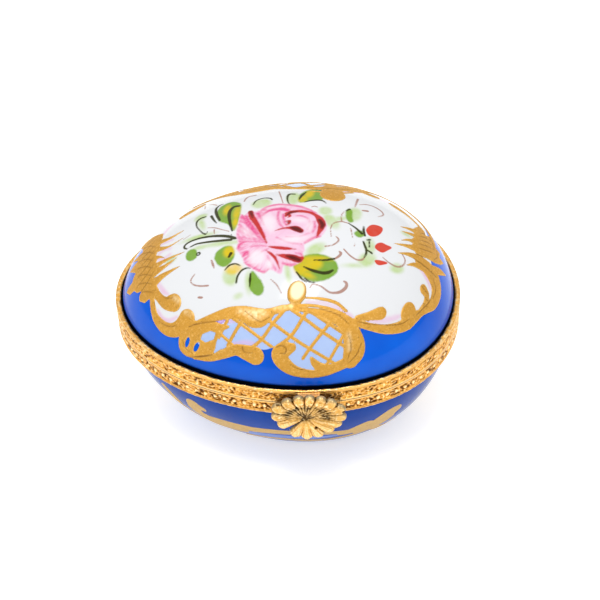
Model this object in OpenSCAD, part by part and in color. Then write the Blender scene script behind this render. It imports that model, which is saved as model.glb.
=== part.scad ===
// Hinged porcelain egg box with brass rims, a five-knuckle hinge and a spring clasp.
// Millimetres. Origin at the centre of the flat foot, +Z up, clasp towards -Y, blunt end towards +X.

/* [Egg] */
// Half the length of the egg at the parting plane
egg_a = 34; // [28:0.5:42]
// Half the width of the egg at its widest
egg_b = 27.5; // [22:0.5:34]
// How much blunter the +X end is than the -X end
egg_skew = 0.09; // [0:0.01:0.15]
// How full both ends are
egg_fullness = 0.05; // [0:0.01:0.15]
// Height of the lid's dome above the parting plane
lid_h = 21.7; // [17:0.1:26]
// Depth that the base's curve would reach without a foot
base_depth = 30.25; // [28:0.25:34]
// Height of the parting plane above the foot
part_z = 25; // [23:0.5:27]
// Thickness of the porcelain
wall = 2.6; // [2:0.1:3.5]
// Thickness of the floor above the foot
floor_t = 3; // [2:0.1:4]

/* [Rims] */
// Height of each brass rim
rim_h = 3.3; // [2.8:0.1:4]
// How far the rim stands outside the egg's outline
rim_out = 1.07; // [0.9:0.01:1.6]
// Thickness of the rim's outer band
band_t = 0.6; // [0.4:0.05:0.7]
// Gap between the rolled lip and the egg's outline
lip_in = 0.1; // [0.05:0.05:0.4]
// Thickness of the rolled lip
lip_t = 0.6; // [0.4:0.05:0.8]
// Thickness of the flange under the porcelain edge
flange_t = 0.7; // [0.5:0.05:1]
// How far the flange reaches inside the egg's outline
flange_in = 1.2; // [0.8:0.1:2]
// Gap between the two rims when shut
rim_gap = 0.2; // [0.1:0.05:0.4]
// How far the cement stays below the rim's edge
cement_drop = 0.8; // [0.4:0.1:1.5]

/* [Hinge] */
// Where the hinge is centred along the egg
hinge_x = 5; // [0:0.5:7]
// Length of one knuckle
knuckle_l = 2.1; // [1.8:0.1:2.6]
// Gap between knuckles
knuckle_gap = 0.12; // [0.08:0.02:0.3]
// Outer radius of a knuckle
knuckle_r = 1.1; // [1:0.05:1.4]
// Radius of the pin
pin_r = 0.5; // [0.4:0.05:0.6]
// Radial clearance of the pin in its knuckles
pin_fit = 0.05; // [0.02:0.01:0.1]
// Height of each hinge strip
leaf_h = 2.3; // [1.8:0.1:2.8]

/* [Clasp] */
// Where the clasp is centred along the egg
clasp_x = 5.4; // [2:0.2:8]
// Overall width of the medallion
medallion_w = 14.2; // [11:0.2:17]
// Overall height of the medallion
medallion_h = 12.2; // [10:0.2:14]
// Width of the spring tongue
tongue_w = 4.2; // [3:0.1:6]
// Thickness of the spring tongue
tongue_t = 0.35; // [0.25:0.05:0.5]
// How far the catch bead stands out of the rim
bead_out = 0.5; // [0.3:0.05:0.6]

/* [Hidden] */

outline_steps = 96;
profile_steps = 44;
round_steps = 64;
far = 200;
slip = 0.02;

cobalt = "royalblue";
brass = "goldenrod";
cement = "dimgray";

peak = max([for (i = [0:180]) sin(i) * fullness(i)]);
half_gap = rim_gap / 2;
edge_z = half_gap + flange_t;
rim_y = egg_b + rim_out;
hinge_y = rim_y + knuckle_r + 0.13;
hinge_len = 5 * knuckle_l + 4 * knuckle_gap;
knuckle_pitch = knuckle_l + knuckle_gap;
leaf_z0 = 0.3;
leaf_out = 0.55;
own_seat_r = knuckle_r;
other_seat_r = knuckle_r + 0.2;
rest_gap = 0.2;
tongue_y = rim_y + bead_out + rest_gap;
tongue_top = rim_h - 0.4;
tongue_len = 5.6;
bead_r = 0.9;
medallion_back = tongue_y + tongue_t;
medallion_t = 0.9;
medallion_z = -3;
medallion_up = medallion_h * 0.55;
medallion_down = medallion_h * 0.45;
hub_r = 2;
rib_r = 0.5;
top_petals = 7;
top_from = -32;
top_to = 212;
fan_petals = 4;
fan_from = 232;
fan_to = 308;

// How wide the egg is at an angle round its outline, before scaling
function fullness(angle) = 1 + egg_skew * cos(angle) + egg_fullness * pow(cos(angle), 2);

// How fast that width changes with the angle, in radians
function fullness_slope(angle) = -egg_skew * sin(angle) - 2 * egg_fullness * cos(angle) * sin(angle);

// A point on the egg's outline, grown outwards by out along its own normal
function outline_point(angle, out) =
    let (x = egg_a * cos(angle))
    let (y = egg_b / peak * sin(angle) * fullness(angle))
    let (dx = -egg_a * sin(angle))
    let (dy = egg_b / peak * (cos(angle) * fullness(angle) + sin(angle) * fullness_slope(angle)))
    [x, y] + [dy, -dx] / norm([dx, dy]) * out;

// The whole outline, grown by out
function outline(out) = [for (i = [0:outline_steps - 1]) outline_point(i * 360 / outline_steps, out)];

// A solid egg of revolution along X, drawn in by inset and flattened to the given height
module egg(inset, height) {
    length = egg_a - inset;
    width = egg_b - inset;
    profile = [
        for (i = [0:profile_steps])
            let (angle = i * 180 / profile_steps)
            [max(0, width / peak * sin(angle) * fullness(angle)), length * cos(angle)]
    ];
    scale([1, 1, (height - inset) / width])
        rotate([0, 90, 0])
            rotate_extrude($fn = round_steps)
                polygon(profile);
}

// Everything above a level, measured from the parting plane
module above(level) {
    translate([-far / 2, -far / 2, level])
        cube([far, far, far]);
}

// Everything below a level, measured from the parting plane
module below(level) {
    translate([-far / 2, -far / 2, level - far])
        cube([far, far, far]);
}

// A ring between two outlines, from level z0 to z1
module ring(inner, outer, z0, z1) {
    translate([0, 0, z0])
        linear_extrude(z1 - z0)
            difference() {
                polygon(outline(outer));
                polygon(outline(inner));
            }
}

// One rim as it lies on the lid: a band, a flange that the porcelain stands on and a lip rolled inwards
module rim() {
    union() {
        ring(rim_out - band_t, rim_out, half_gap, rim_h);
        ring(-flange_in, rim_out, half_gap, edge_z);
        ring(lip_in, rim_out, rim_h - lip_t, rim_h);
    }
}

// The cement between porcelain and band, as it lies on the lid
module cement_ring() {
    ring(slip, rim_out - band_t, edge_z, rim_h - cement_drop);
}

// One hinge strip as it lies on the lid; own lists the knuckles that are brazed to it
module leaf(own) {
    difference() {
        translate([hinge_x - hinge_len / 2, rim_y - 1, leaf_z0])
            cube([hinge_len, 1 + leaf_out, leaf_h]);
        translate([0, 0, -1])
            linear_extrude(leaf_h + 3)
                polygon(outline(rim_out));
        for (i = [0:4])
            let (is_own = len(search(i, own)) > 0)
            let (side = is_own ? 0 : knuckle_gap)
            knuckle_cylinder(i, is_own ? own_seat_r : other_seat_r, side);
    }
}

// A cylinder at one knuckle's place, longer by side at both ends
module knuckle_cylinder(i, r, side) {
    translate([hinge_x - hinge_len / 2 + i * knuckle_pitch - side, hinge_y, 0])
        rotate([0, 90, 0])
            cylinder(h = knuckle_l + 2 * side, r = r, $fn = 48);
}

// The drilled knuckles named in own
module knuckles(own) {
    for (i = own)
        difference() {
            knuckle_cylinder(i, knuckle_r, 0);
            knuckle_cylinder(i, pin_r + pin_fit, 1);
        }
}

// The medallion's outline as a share of its reach: wide petals round the top and sides, a narrower fan below
function petal_share(angle) =
    let (in_top = angle > top_from && angle < top_to)
    let (in_fan = angle > fan_from && angle < fan_to)
    in_top ? 0.87 + 0.13 * lobe(angle, top_from, top_to, top_petals)
    : in_fan ? 0.87 + 0.13 * lobe(angle, fan_from, fan_to, fan_petals)
    : 0.64;

// Rises and falls once for each petal between two angles
function lobe(angle, from, to, petals) = pow(abs(sin(180 * petals * (angle - from) / (to - from))), 0.6);

// A point of the medallion at an angle; it reaches further up than down
function petal_point(angle, share) =
    share * [medallion_w / 2 * cos(angle), (sin(angle) > 0 ? medallion_up : medallion_down) * sin(angle)];

// Raised ribs along the middle of each petal
module ribs(petals, from, to) {
    for (i = [0:petals - 1]) {
        tip = petal_point(from + (to - from) * (i + 0.5) / petals, 0.84);
        rotate([0, -atan2(tip.y, tip.x), 0])
            translate([hub_r * 0.6, -medallion_t + rib_r * 0.4, 0])
                rotate([0, 90, 0])
                    cylinder(h = norm(tip) - hub_r * 0.6, r = rib_r, $fn = 24);
    }
}

module base_porcelain() {
    color(cobalt)
        translate([0, 0, part_z])
            difference() {
                intersection() {
                    egg(0, base_depth);
                    below(-edge_z);
                    above(-part_z);
                }
                intersection() {
                    egg(wall, base_depth);
                    above(floor_t - part_z);
                }
            }
}

module base_bezel() {
    color(brass)
        translate([0, 0, part_z])
            mirror([0, 0, 1])
                rim();
}

module base_cement() {
    color(cement)
        translate([0, 0, part_z])
            mirror([0, 0, 1])
                cement_ring();
}

module catch_bead() {
    color(brass)
        translate([clasp_x, 0, part_z - rim_h / 2])
            difference() {
                translate([0, bead_r - bead_out - rim_y, 0])
                    sphere(r = bead_r, $fn = 48);
                translate([-clasp_x, 0, -2 * bead_r])
                    linear_extrude(4 * bead_r)
                        polygon(outline(rim_out));
            }
}

module base_hinge_leaf() {
    color(brass)
        translate([0, 0, part_z])
            mirror([0, 0, 1])
                leaf([0, 2, 4]);
}

module base_hinge_knuckles() {
    color(brass)
        translate([0, 0, part_z])
            knuckles([0, 2, 4]);
}

module hinge_pin() {
    color(brass)
        translate([hinge_x - hinge_len / 2, hinge_y, part_z])
            rotate([0, 90, 0])
                cylinder(h = hinge_len, r = pin_r, $fn = 48);
}

module lid_porcelain() {
    color(cobalt)
        translate([0, 0, part_z])
            difference() {
                intersection() {
                    egg(0, lid_h);
                    above(edge_z);
                }
                egg(wall, lid_h);
            }
}

module lid_bezel() {
    color(brass)
        translate([0, 0, part_z])
            rim();
}

module lid_cement() {
    color(cement)
        translate([0, 0, part_z])
            cement_ring();
}

module lid_hinge_leaf() {
    color(brass)
        translate([0, 0, part_z])
            leaf([1, 3]);
}

module lid_hinge_knuckles() {
    color(brass)
        translate([0, 0, part_z])
            knuckles([1, 3]);
}

module clasp_bracket() {
    color(brass)
        translate([0, 0, part_z + rim_h / 2 + 0.4])
            difference() {
                translate([clasp_x - tongue_w / 2, -tongue_y, 0])
                    cube([tongue_w, tongue_y - rim_y + 1, tongue_top - rim_h / 2 - 0.4]);
                translate([0, 0, -1])
                    linear_extrude(rim_h + 2)
                        polygon(outline(rim_out));
            }
}

module clasp_tongue() {
    color(brass)
        translate([clasp_x - tongue_w / 2, -tongue_y - tongue_t, part_z + tongue_top - tongue_len])
            cube([tongue_w, tongue_t, tongue_len]);
}

module clasp_medallion() {
    color(brass)
        translate([clasp_x, -medallion_back, part_z + medallion_z])
            union() {
                rotate([90, 0, 0])
                    linear_extrude(medallion_t)
                        polygon([for (i = [0:179]) petal_point(2 * i - 50, petal_share(2 * i - 50))]);
                ribs(top_petals, top_from, top_to);
                ribs(fan_petals, fan_from, fan_to);
                rotate([90, 0, 0])
                    cylinder(h = medallion_t + 0.5, r = hub_r, $fn = 48);
            }
}

base_porcelain();
base_bezel();
base_cement();
catch_bead();
base_hinge_leaf();
base_hinge_knuckles();
hinge_pin();
lid_porcelain();
lid_bezel();
lid_cement();
lid_hinge_leaf();
lid_hinge_knuckles();
clasp_bracket();
clasp_tongue();
clasp_medallion();
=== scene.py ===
"""Looks of a hinged porcelain egg box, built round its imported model.

Lengths are in millimetres until a mesh is made. Plans of the painting lie in the dome's own flat
map: its centre is the top of the dome, and a step of one millimetre there is about one on the glaze.
"""

import logging
import math
from collections.abc import Callable, Sequence
from dataclasses import dataclass, field
from enum import Enum

import bmesh
import bpy
import numpy as np
from mathutils import Matrix, Vector


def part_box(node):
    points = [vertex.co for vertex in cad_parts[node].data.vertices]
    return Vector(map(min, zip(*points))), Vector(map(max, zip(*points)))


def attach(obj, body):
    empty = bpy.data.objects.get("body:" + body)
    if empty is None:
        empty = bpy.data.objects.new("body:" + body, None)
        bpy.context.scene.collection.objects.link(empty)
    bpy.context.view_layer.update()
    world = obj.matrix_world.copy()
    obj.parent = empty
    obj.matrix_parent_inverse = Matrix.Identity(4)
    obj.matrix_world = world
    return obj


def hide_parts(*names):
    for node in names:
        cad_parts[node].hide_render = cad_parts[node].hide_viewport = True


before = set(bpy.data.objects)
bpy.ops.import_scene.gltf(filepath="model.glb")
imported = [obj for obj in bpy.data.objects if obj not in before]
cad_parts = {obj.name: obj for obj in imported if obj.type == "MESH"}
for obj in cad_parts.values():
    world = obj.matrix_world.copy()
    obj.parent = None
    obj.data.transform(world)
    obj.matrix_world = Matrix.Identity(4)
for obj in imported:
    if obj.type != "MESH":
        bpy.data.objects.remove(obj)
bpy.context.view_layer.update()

LOG = logging.getLogger("egg_box")
MM = 0.001
FAR = 50.0
MIXED = 0.71  # finishes are mixed this much darker than they look, as the studio is bright

Array = np.ndarray
Stroke = Sequence[tuple[float, float, float]]
Outline = Sequence[tuple[float, float]]
Colour = tuple[float, float, float, float]


class Body(Enum):
    """The bodies that pieces ride on."""

    BASE = "base"
    LID = "lid"
    CLASP = "clasp"


class Slot(Enum):
    """The record's material slots."""

    PORCELAIN = "blue_porcelain"
    BRASS = "brass"
    CEMENT = "cement"


class Half(Enum):
    """Which half of the egg a piece belongs to: the sign of its height above the parting plane."""

    LID = 1.0
    BASE = -1.0


def tint(red: float, green: float, blue: float, mixed: float = MIXED) -> Colour:
    """A linear colour from display values between 0 and 255, darkened as it is mixed."""
    parts = [c / 255 for c in (red, green, blue)]
    linear = [c / 12.92 if c <= 0.04045 else ((c + 0.055) / 1.055) ** 2.4 for c in parts]
    return (linear[0] * mixed, linear[1] * mixed, linear[2] * mixed, 1.0)


# The egg

HALVINGS = 40  # leaves a searched angle good to about 1e-12 radians


@dataclass(frozen=True)
class Egg:
    """The egg that every piece follows, from the centre of the parting plane."""

    half_length: float = 34.0
    half_width: float = 27.5
    skew: float = 0.09
    fullness: float = 0.05
    lid_height: float = 21.68
    base_depth: float = 30.25
    wall: float = 2.6
    floor: float = 3.0
    part_z: float = 25.0

    @property
    def peak(self) -> float:
        """The widest value of the outline's own curve."""
        angle = np.linspace(0, np.pi, 2001)
        return float((np.sin(angle) * self.swell(np.cos(angle))).max())

    def swell(self, along: Array) -> Array:
        """How full the egg is at a share of its half length."""
        return 1 + self.skew * along + self.fullness * along**2

    def height(self, half: Half) -> float:
        """How far one half reaches from the parting plane."""
        return self.lid_height if half is Half.LID else self.base_depth

    def point(self, heading: Array, rise: Array, half: Half, inset: float = 0.0) -> Array:
        """Points on one half's surface.

        Args:
            heading: direction round the pole, in radians, with 0 towards the blunt end.
            rise: angle from the pole, in radians.
            half: which half of the egg.
            inset: how far inside the outer surface.

        Returns:
            An array of x, y, z rows.
        """
        along = np.sin(rise) * np.cos(heading)
        across = np.sin(rise) * np.sin(heading)
        swell = self.swell(along) / self.peak
        x = (self.half_length - inset) * along
        y = (self.half_width - inset) * swell * across
        z = (self.height(half) - inset) * swell * np.cos(rise) * half.value
        return np.stack([x, y, z], axis=-1)

    def rise_at(self, heading: Array, level: float, half: Half, inset: float = 0.0) -> Array:
        """The angle from the pole at which a surface crosses a level, found by halving.

        Args:
            heading: Angles round the egg.
            level: Height off the parting plane.
            half: The half meant.
            inset: Depth under the glaze.

        Returns:
            An angle for each heading.
        """
        low = np.zeros_like(heading)
        high = np.full_like(heading, np.pi / 2)
        for _ in range(HALVINGS):
            middle = (low + high) / 2
            above = np.abs(self.point(heading, middle, half, inset)[:, 2]) > level
            low = np.where(above, middle, low)
            high = np.where(above, high, middle)
        return (low + high) / 2

    def outline(self, heading: Array, out: Array | float) -> Array:
        """Points on the outline at the parting plane, grown by out along its normal.

        Args:
            heading: Angles round the egg.
            out: How far to grow.

        Returns:
            Plan points.
        """
        cos, sin = np.cos(heading), np.sin(heading)
        swell = self.swell(cos)
        slope = -self.skew * sin - 2 * self.fullness * cos * sin
        width = self.half_width / self.peak
        across = np.stack([width * (cos * swell + sin * slope), self.half_length * sin], axis=-1)
        across /= np.linalg.norm(across, axis=-1, keepdims=True)
        spot = np.stack([self.half_length * cos, width * sin * swell], axis=-1)
        return spot + across * np.asarray(out)[..., None]

    def flat_map(self, heading: Array, rise: Array) -> Array:
        """Places in the flat map of a half."""
        return np.stack(
            [self.half_length * rise * np.cos(heading), self.half_width * rise * np.sin(heading)], axis=-1
        )

    def from_map(self, spots: Array, half: Half, lift: Array | float = 0.0) -> Array:
        """Surface points over places in the flat map, raised by lift along the normal.

        Args:
            spots: Places in the map.
            half: The half meant.
            lift: Height over the glaze.

        Returns:
            Points on the egg.
        """

        def surface(places: Array) -> Array:
            """Surface points over places in the map."""
            scaled = places / np.array([self.half_length, self.half_width])
            rise = np.linalg.norm(scaled, axis=-1)
            heading = np.arctan2(scaled[:, 1], scaled[:, 0])
            return self.point(heading, rise, half)

        here = surface(spots)
        step = 0.02
        east = surface(spots + np.array([step, 0.0])) - surface(spots - np.array([step, 0.0]))
        north = surface(spots + np.array([0.0, step])) - surface(spots - np.array([0.0, step]))
        normal = np.cross(east, north) * half.value
        normal /= np.linalg.norm(normal, axis=-1, keepdims=True)
        return here + normal * np.asarray(lift).reshape(-1, 1)


EGG = Egg(part_z=(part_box("lid_bezel")[0].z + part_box("base_bezel")[1].z) / 2 / MM)


# Brushwork: signed distances from strokes and outlines, below zero inside


def through(points: Array, closed: bool, steps: int) -> Array:
    """A smooth curve through points, as a Catmull-Rom spline.

    Args:
        points: rows of any length.
        closed: whether the curve returns to its start.
        steps: pieces between two points.

    Returns:
        The curve's rows, ending where it started if it is closed.
    """
    rows = np.asarray(points, float)
    if len(rows) == 2 and not closed:
        return rows
    if closed:
        held = np.vstack([rows[-1], rows, rows[0], rows[1]])
    else:
        held = np.vstack([2 * rows[0] - rows[1], rows, 2 * rows[-1] - rows[-2]])
    share = np.linspace(0, 1, steps, endpoint=False)[:, None]
    spans = []
    for i in range(len(held) - 3):
        a, b, c, d = held[i : i + 4]
        spans.append(
            0.5
            * (
                2 * b
                + (c - a) * share
                + (2 * a - 5 * b + 4 * c - d) * share**2
                + (3 * b - a - 3 * c + d) * share**3
            )
        )
    return np.vstack([*spans, held[-2][None]])


@dataclass
class Canvas:
    """Places on a flat map that strokes are measured from."""

    places: Array
    reach: float = 2.5

    def blank(self) -> Array:
        """A distance that nothing has been painted into."""
        return np.full(len(self.places), FAR)

    def near(self, rows: Array, margin: float) -> Array:
        """The places inside a box round some rows."""
        low = rows[:, :2].min(axis=0) - margin
        high = rows[:, :2].max(axis=0) + margin
        return np.nonzero(((self.places > low) & (self.places < high)).all(axis=1))[0]

    def strokes(self, strokes: Sequence[Stroke]) -> Array:
        """Distance to the nearest of some strokes, whose points are x, y and half width.

        Args:
            strokes: Lists of points along each stroke.

        Returns:
            A distance for each place, below zero inside.
        """
        found = self.blank()
        for stroke in strokes:
            rows = through(np.array(stroke), False, 5)
            near = self.near(rows, rows[:, 2].max() + self.reach)
            spots = self.places[near]
            best = found[near]
            for start, end in zip(rows[:-1], rows[1:]):
                span = end[:2] - start[:2]
                length = max(float(span @ span), 1e-9)
                share = np.clip((spots - start[:2]) @ span / length, 0, 1)
                gap = np.linalg.norm(spots - start[:2] - share[:, None] * span, axis=1)
                width = start[2] + share * (end[2] - start[2])
                best = np.minimum(best, gap - np.maximum(width, 0.02))
            found[near] = best
        return found

    def shapes(self, outlines: Sequence[Outline], smooth: bool = True) -> Array:
        """Distance to the nearest of some closed outlines.

        Args:
            outlines: Lists of corner points.
            smooth: Whether corners are rounded.

        Returns:
            A distance for each place, below zero inside.
        """
        found = self.blank()
        for outline in outlines:
            corners = np.array(outline, float)
            rows = through(corners, True, 5) if smooth else np.vstack([corners, corners[:1]])
            near = self.near(rows, self.reach)
            spots = self.places[near]
            gap = np.full(len(spots), FAR)
            inside = np.zeros(len(spots), bool)
            for start, end in zip(rows[:-1], rows[1:]):
                span = end - start
                length = max(float(span @ span), 1e-9)
                share = np.clip((spots - start) @ span / length, 0, 1)
                gap = np.minimum(gap, np.linalg.norm(spots - start - share[:, None] * span, axis=1))
                rising = (start[1] > spots[:, 1]) != (end[1] > spots[:, 1])
                if rising.any():
                    slope = span[0] / (span[1] if span[1] else 1e-9)
                    inside ^= rising & (spots[:, 0] < start[0] + (spots[:, 1] - start[1]) * slope)
            found[near] = np.minimum(found[near], np.where(inside, -gap, gap))
        return found

    def ovals(self, ovals: Sequence[tuple[float, float, float, float, float]]) -> Array:
        """Distance to the nearest of some ovals: centre, two radii and a turn in degrees.

        Args:
            ovals: Centre, radii and turn of each.

        Returns:
            A distance for each place, below zero inside.
        """
        found = self.blank()
        for x, y, wide, tall, turn in ovals:
            angle = math.radians(turn)
            gap = self.places - np.array([x, y])
            along = gap[:, 0] * math.cos(angle) + gap[:, 1] * math.sin(angle)
            across = gap[:, 1] * math.cos(angle) - gap[:, 0] * math.sin(angle)
            share = np.hypot(along / wide, across / tall)
            found = np.minimum(found, (share - 1) * min(wide, tall))
        return found


def wash(distance: Array, softness: float) -> Array:
    """A soft share of cover, 1 well inside a distance and 0 well outside it."""
    share = np.clip(0.5 - distance / (2 * softness), 0, 1)
    return share * share * (3 - 2 * share)


def back_copy(strokes: Sequence[Stroke], axis_y: float) -> list[Stroke]:
    """Strokes mirrored to the back of the lid about a line across it, a little further out on the left."""
    return [[(x, 2 * axis_y - y + 1.6 * min(max((-6 - x) / 8, 0), 1), w) for x, y, w in s] for s in strokes]


# The painter's plans for the lid

BACK_AXIS = -3.5

SIDE_SCROLLS: list[Stroke] = [
    [(-31.2, -13.6, 0.9), (-31.5, -17.5, 1.1), (-30.8, -20, 1.5), (-29, -22.2, 1.8), (-26.4, -23.2, 1.9),
     (-23.8, -22.6, 2.0), (-21.7, -21, 2.1)],
    [(-30.3, -11, 1.2), (-28.9, -14, 1.2), (-27, -16.2, 1.6), (-24.8, -16.7, 2.3)],
    [(16, -22.2, 0.8), (20, -22.5, 0.9), (24, -22.2, 1.1), (27.5, -21, 1.3), (30, -19.2, 1.6),
     (31.8, -17.2, 1.4), (33.5, -15.6, 0.9), (35.3, -13.8, 1.1), (37, -11.8, 1.6), (37.6, -9.2, 2.0),
     (36.9, -6.9, 2.3), (35, -5.2, 2.4), (32.5, -4.4, 1.9), (30, -3.7, 1.3)],
    [(30.4, -19.2, 1.4), (29.4, -17.6, 2.0), (29.7, -16.6, 2.1)],
    [(33, -15.4, 0.6), (34.3, -13, 0.9), (34.1, -11.1, 1.0), (32.8, -10.3, 1.3)],
    [(16.8, -21.3, 0.7), (19.5, -20.3, 1.0), (21.8, -19.3, 1.4), (22.3, -19, 1.35)],
]

FRONT_SCROLLS: list[Stroke] = [
    [(-19.3, -22.6, 0.5), (-15, -22, 1.0), (-11, -21.4, 1.4), (-8, -21.7, 1.7), (-5.4, -22.8, 2.3),
     (-3.4, -22.4, 1.6), (-1.8, -21.5, 0.9), (0.4, -20.8, 0.8), (3, -20.3, 0.6)],
    [(5, -18.4, 0.2), (8, -18.3, 0.35), (11.5, -18.8, 0.4), (14, -20.2, 0.35)],
    [(3, -20.2, 0.5), (7, -19.9, 0.35), (11, -20.4, 0.45), (14.5, -21.6, 0.6), (17, -22.8, 0.6)],
    [(3, -20.8, 0.5), (7, -21.1, 0.75), (11, -21.8, 1.15), (14.2, -23.1, 1.5), (16.5, -25.4, 2.3),
     (17.6, -28.2, 2.8), (17.3, -30.4, 2.2)],
    [(-24.6, -24.8, 0.9), (-20.5, -24, 1.3), (-16.5, -23.7, 1.4), (-14, -24.4, 1.0), (-11.8, -24.4, 0.4)],
    [(-22, -24.3, 1.0), (-24.4, -25.6, 1.1), (-25.4, -28.2, 1.2), (-23.9, -30, 0.8), (-21, -30.4, 0.7),
     (-18.4, -29.6, 1.2), (-17.6, -28.6, 1.7)],
    [(-22, -22.6, 1.0), (-19.6, -22.8, 0.8)],
    [(-23, -31, 0.4), (-18.5, -31.6, 0.8), (-14, -30.7, 1.2), (-10.8, -29.9, 1.4), (-8.3, -30.6, 1.9),
     (-6.2, -31.4, 2.3)],
    [(2.6, -29.2, 1.1), (0.8, -29.9, 1.9), (-0.2, -31.3, 2.0), (1.2, -33.4, 1.8), (4, -34.9, 1.4),
     (8, -35.2, 1.1), (11.5, -34.3, 1.1), (14.3, -32.6, 1.3), (16.2, -31.4, 1.3)],
    [(13.4, -33.2, 1.0), (10.5, -33.4, 1.2), (8.6, -32.6, 1.0), (7.5, -31.4, 0.5)],
]

LATTICE: list[Stroke] = [
    [(-20.5, -25.6, 0.42), (-16.4, -28.8, 0.42)],
    [(-15, -24.8, 0.42), (-11, -29, 0.42)],
    [(-10.5, -22.6, 0.42), (-4.2, -27.6, 0.42), (-1.2, -29.8, 0.42)],
    [(-2.6, -23.4, 0.42), (2.4, -26.8, 0.42), (6.8, -29.2, 0.42), (14.4, -32.4, 0.42)],
    [(1.6, -20.6, 0.42), (5.5, -23, 0.42), (9.4, -25.3, 0.42), (15, -27.8, 0.42)],
    [(6, -21.2, 0.3), (10.2, -23.2, 0.42), (14.6, -25.2, 0.42)],
    [(-17.2, -29.5, 0.42), (-14, -26, 0.42), (-11.8, -23, 0.42)],
    [(-12.6, -28.8, 0.42), (-9.3, -24.4, 0.42), (-8, -22.8, 0.42)],
    [(-7, -29.6, 0.42), (-4.3, -27.6, 0.42), (-1.6, -24, 0.42), (1, -20.9, 0.42)],
    [(-1.6, -29.8, 0.42), (2.3, -26.7, 0.42), (4.7, -22.7, 0.42), (5.5, -21.2, 0.42)],
    [(5.4, -31.6, 0.42), (6.8, -29.2, 0.42), (9.4, -25.2, 0.42), (11.3, -22.4, 0.42)],
    [(11.4, -32.6, 0.42), (13.5, -27.2, 0.42), (14.4, -25, 0.42)],
]

TRELLIS_FIELD: Outline = [
    (-20.4, -27.4), (-18.6, -25), (-14, -24), (-11, -22.4), (-7.6, -23.6), (-5.2, -25), (-2.4, -23.6),
    (-1, -21.8), (2, -20.6), (6, -21.2), (10.4, -22.4), (14, -24.4), (15.4, -27), (15.8, -31),
    (13.4, -33.4), (8, -35), (3.8, -34.2), (1.6, -32), (1, -29.4), (-1.6, -29.4), (-3.6, -29.9),
    (-6, -29.6), (-10, -28.7), (-13.4, -29.4), (-17, -30.8), (-18, -29.6),
]

LOBE: Outline = [
    (-25.6, -26.4), (-24, -24.6), (-20, -23.8), (-16, -24), (-14, -25.8), (-14.4, -28), (-14.6, -30),
    (-18, -31), (-23, -30.8), (-25.4, -28.6),
]
LOBE_SLOTS = [(-23.4, -26.8, 1.4, 0.5, 50), (-21.1, -28.3, 1.45, 0.55, 42)]
LOBE_WINDOWS: list[Outline] = [
    [(-19.3, -26.6), (-18.5, -25.5), (-16.2, -25), (-15.1, -25.6), (-15.9, -27), (-18.2, -27.5)],
    [(-14.7, -26.9), (-12.9, -28.2), (-14.6, -29.5), (-16.9, -30.5), (-15.9, -29.2), (-15.3, -27.8)],
]

BACK_SIDES: list[Stroke] = [
    [(23.4, 13.2, 0.5), (25, 12.3, 0.9), (27.6, 11, 0.6), (30, 9.4, 0.45), (32.4, 7.4, 0.6)],
    [(16.2, 15.6, 0.6), (18.4, 14.8, 1.0), (20.2, 14.3, 0.6)],
    [(-24.2, 10.6, 0.7), (-21.8, 12.2, 1.2), (-19, 13.8, 0.6)],
    [(-36, 7.5, 1.2), (-38.6, 11.5, 1.2), (-37.6, 15.5, 1.1), (-34, 19.5, 1.3), (-28.5, 22.5, 1.6),
     (-22, 24.4, 1.4)],
    [(17, 18.5, 1.4), (22, 20, 1.3), (27.5, 18.5, 1.2), (31.5, 15.2, 1.2), (34.5, 11.4, 1.0),
     (36, 7.5, 0.8)],
    [(9.6, 15, 2.2), (9.5, 12, 2.4), (9.5, 10, 2.8)],
]

SIDE_FANS: list[Outline] = [
    [(-30.6, -14.4), (-32, -13.4), (-34.3, -13.8), (-36.3, -12.4), (-36, -11.2), (-35, -10.2),
     (-36.9, -9.7), (-38.2, -8.4), (-40.8, -8.3), (-42.9, -6.3), (-41.3, -5.5), (-38.9, -5.2),
     (-38.2, -4), (-37.2, -3.1), (-38.5, -2.1), (-41.2, 0.2), (-38.8, 0.8), (-36.6, 1.2), (-38, 2.1),
     (-40.5, 3.9), (-37.5, 3.6), (-35.4, 3.6), (-36, 6), (-37.6, 8.6), (-35, 9.6), (-32.5, 8.6),
     (-30.4, 7.4), (-28.4, 6.2), (-28.1, 4), (-28.5, 2.4), (-28.3, 0.9), (-28.9, -0.2), (-29.2, -1.8),
     (-28.5, -2.6), (-29, -4), (-28.8, -6.6), (-30.2, -8.2), (-29, -10.5), (-29.3, -12.5)],
    [(29.5, -2.6), (33, -2), (36, -1.4), (38.5, -0.2), (40.3, 1.7), (38.2, 2.1), (38.8, 4.2),
     (36.9, 4.4), (36.9, 7.2), (35.2, 8), (33.2, 6.2), (32.6, 8), (31.2, 8.6), (30.3, 7.4),
     (29.2, 6), (28.3, 4.5), (29.3, 3), (28, 1.2), (28.3, 0), (27.5, -1.4)],
]

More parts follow.
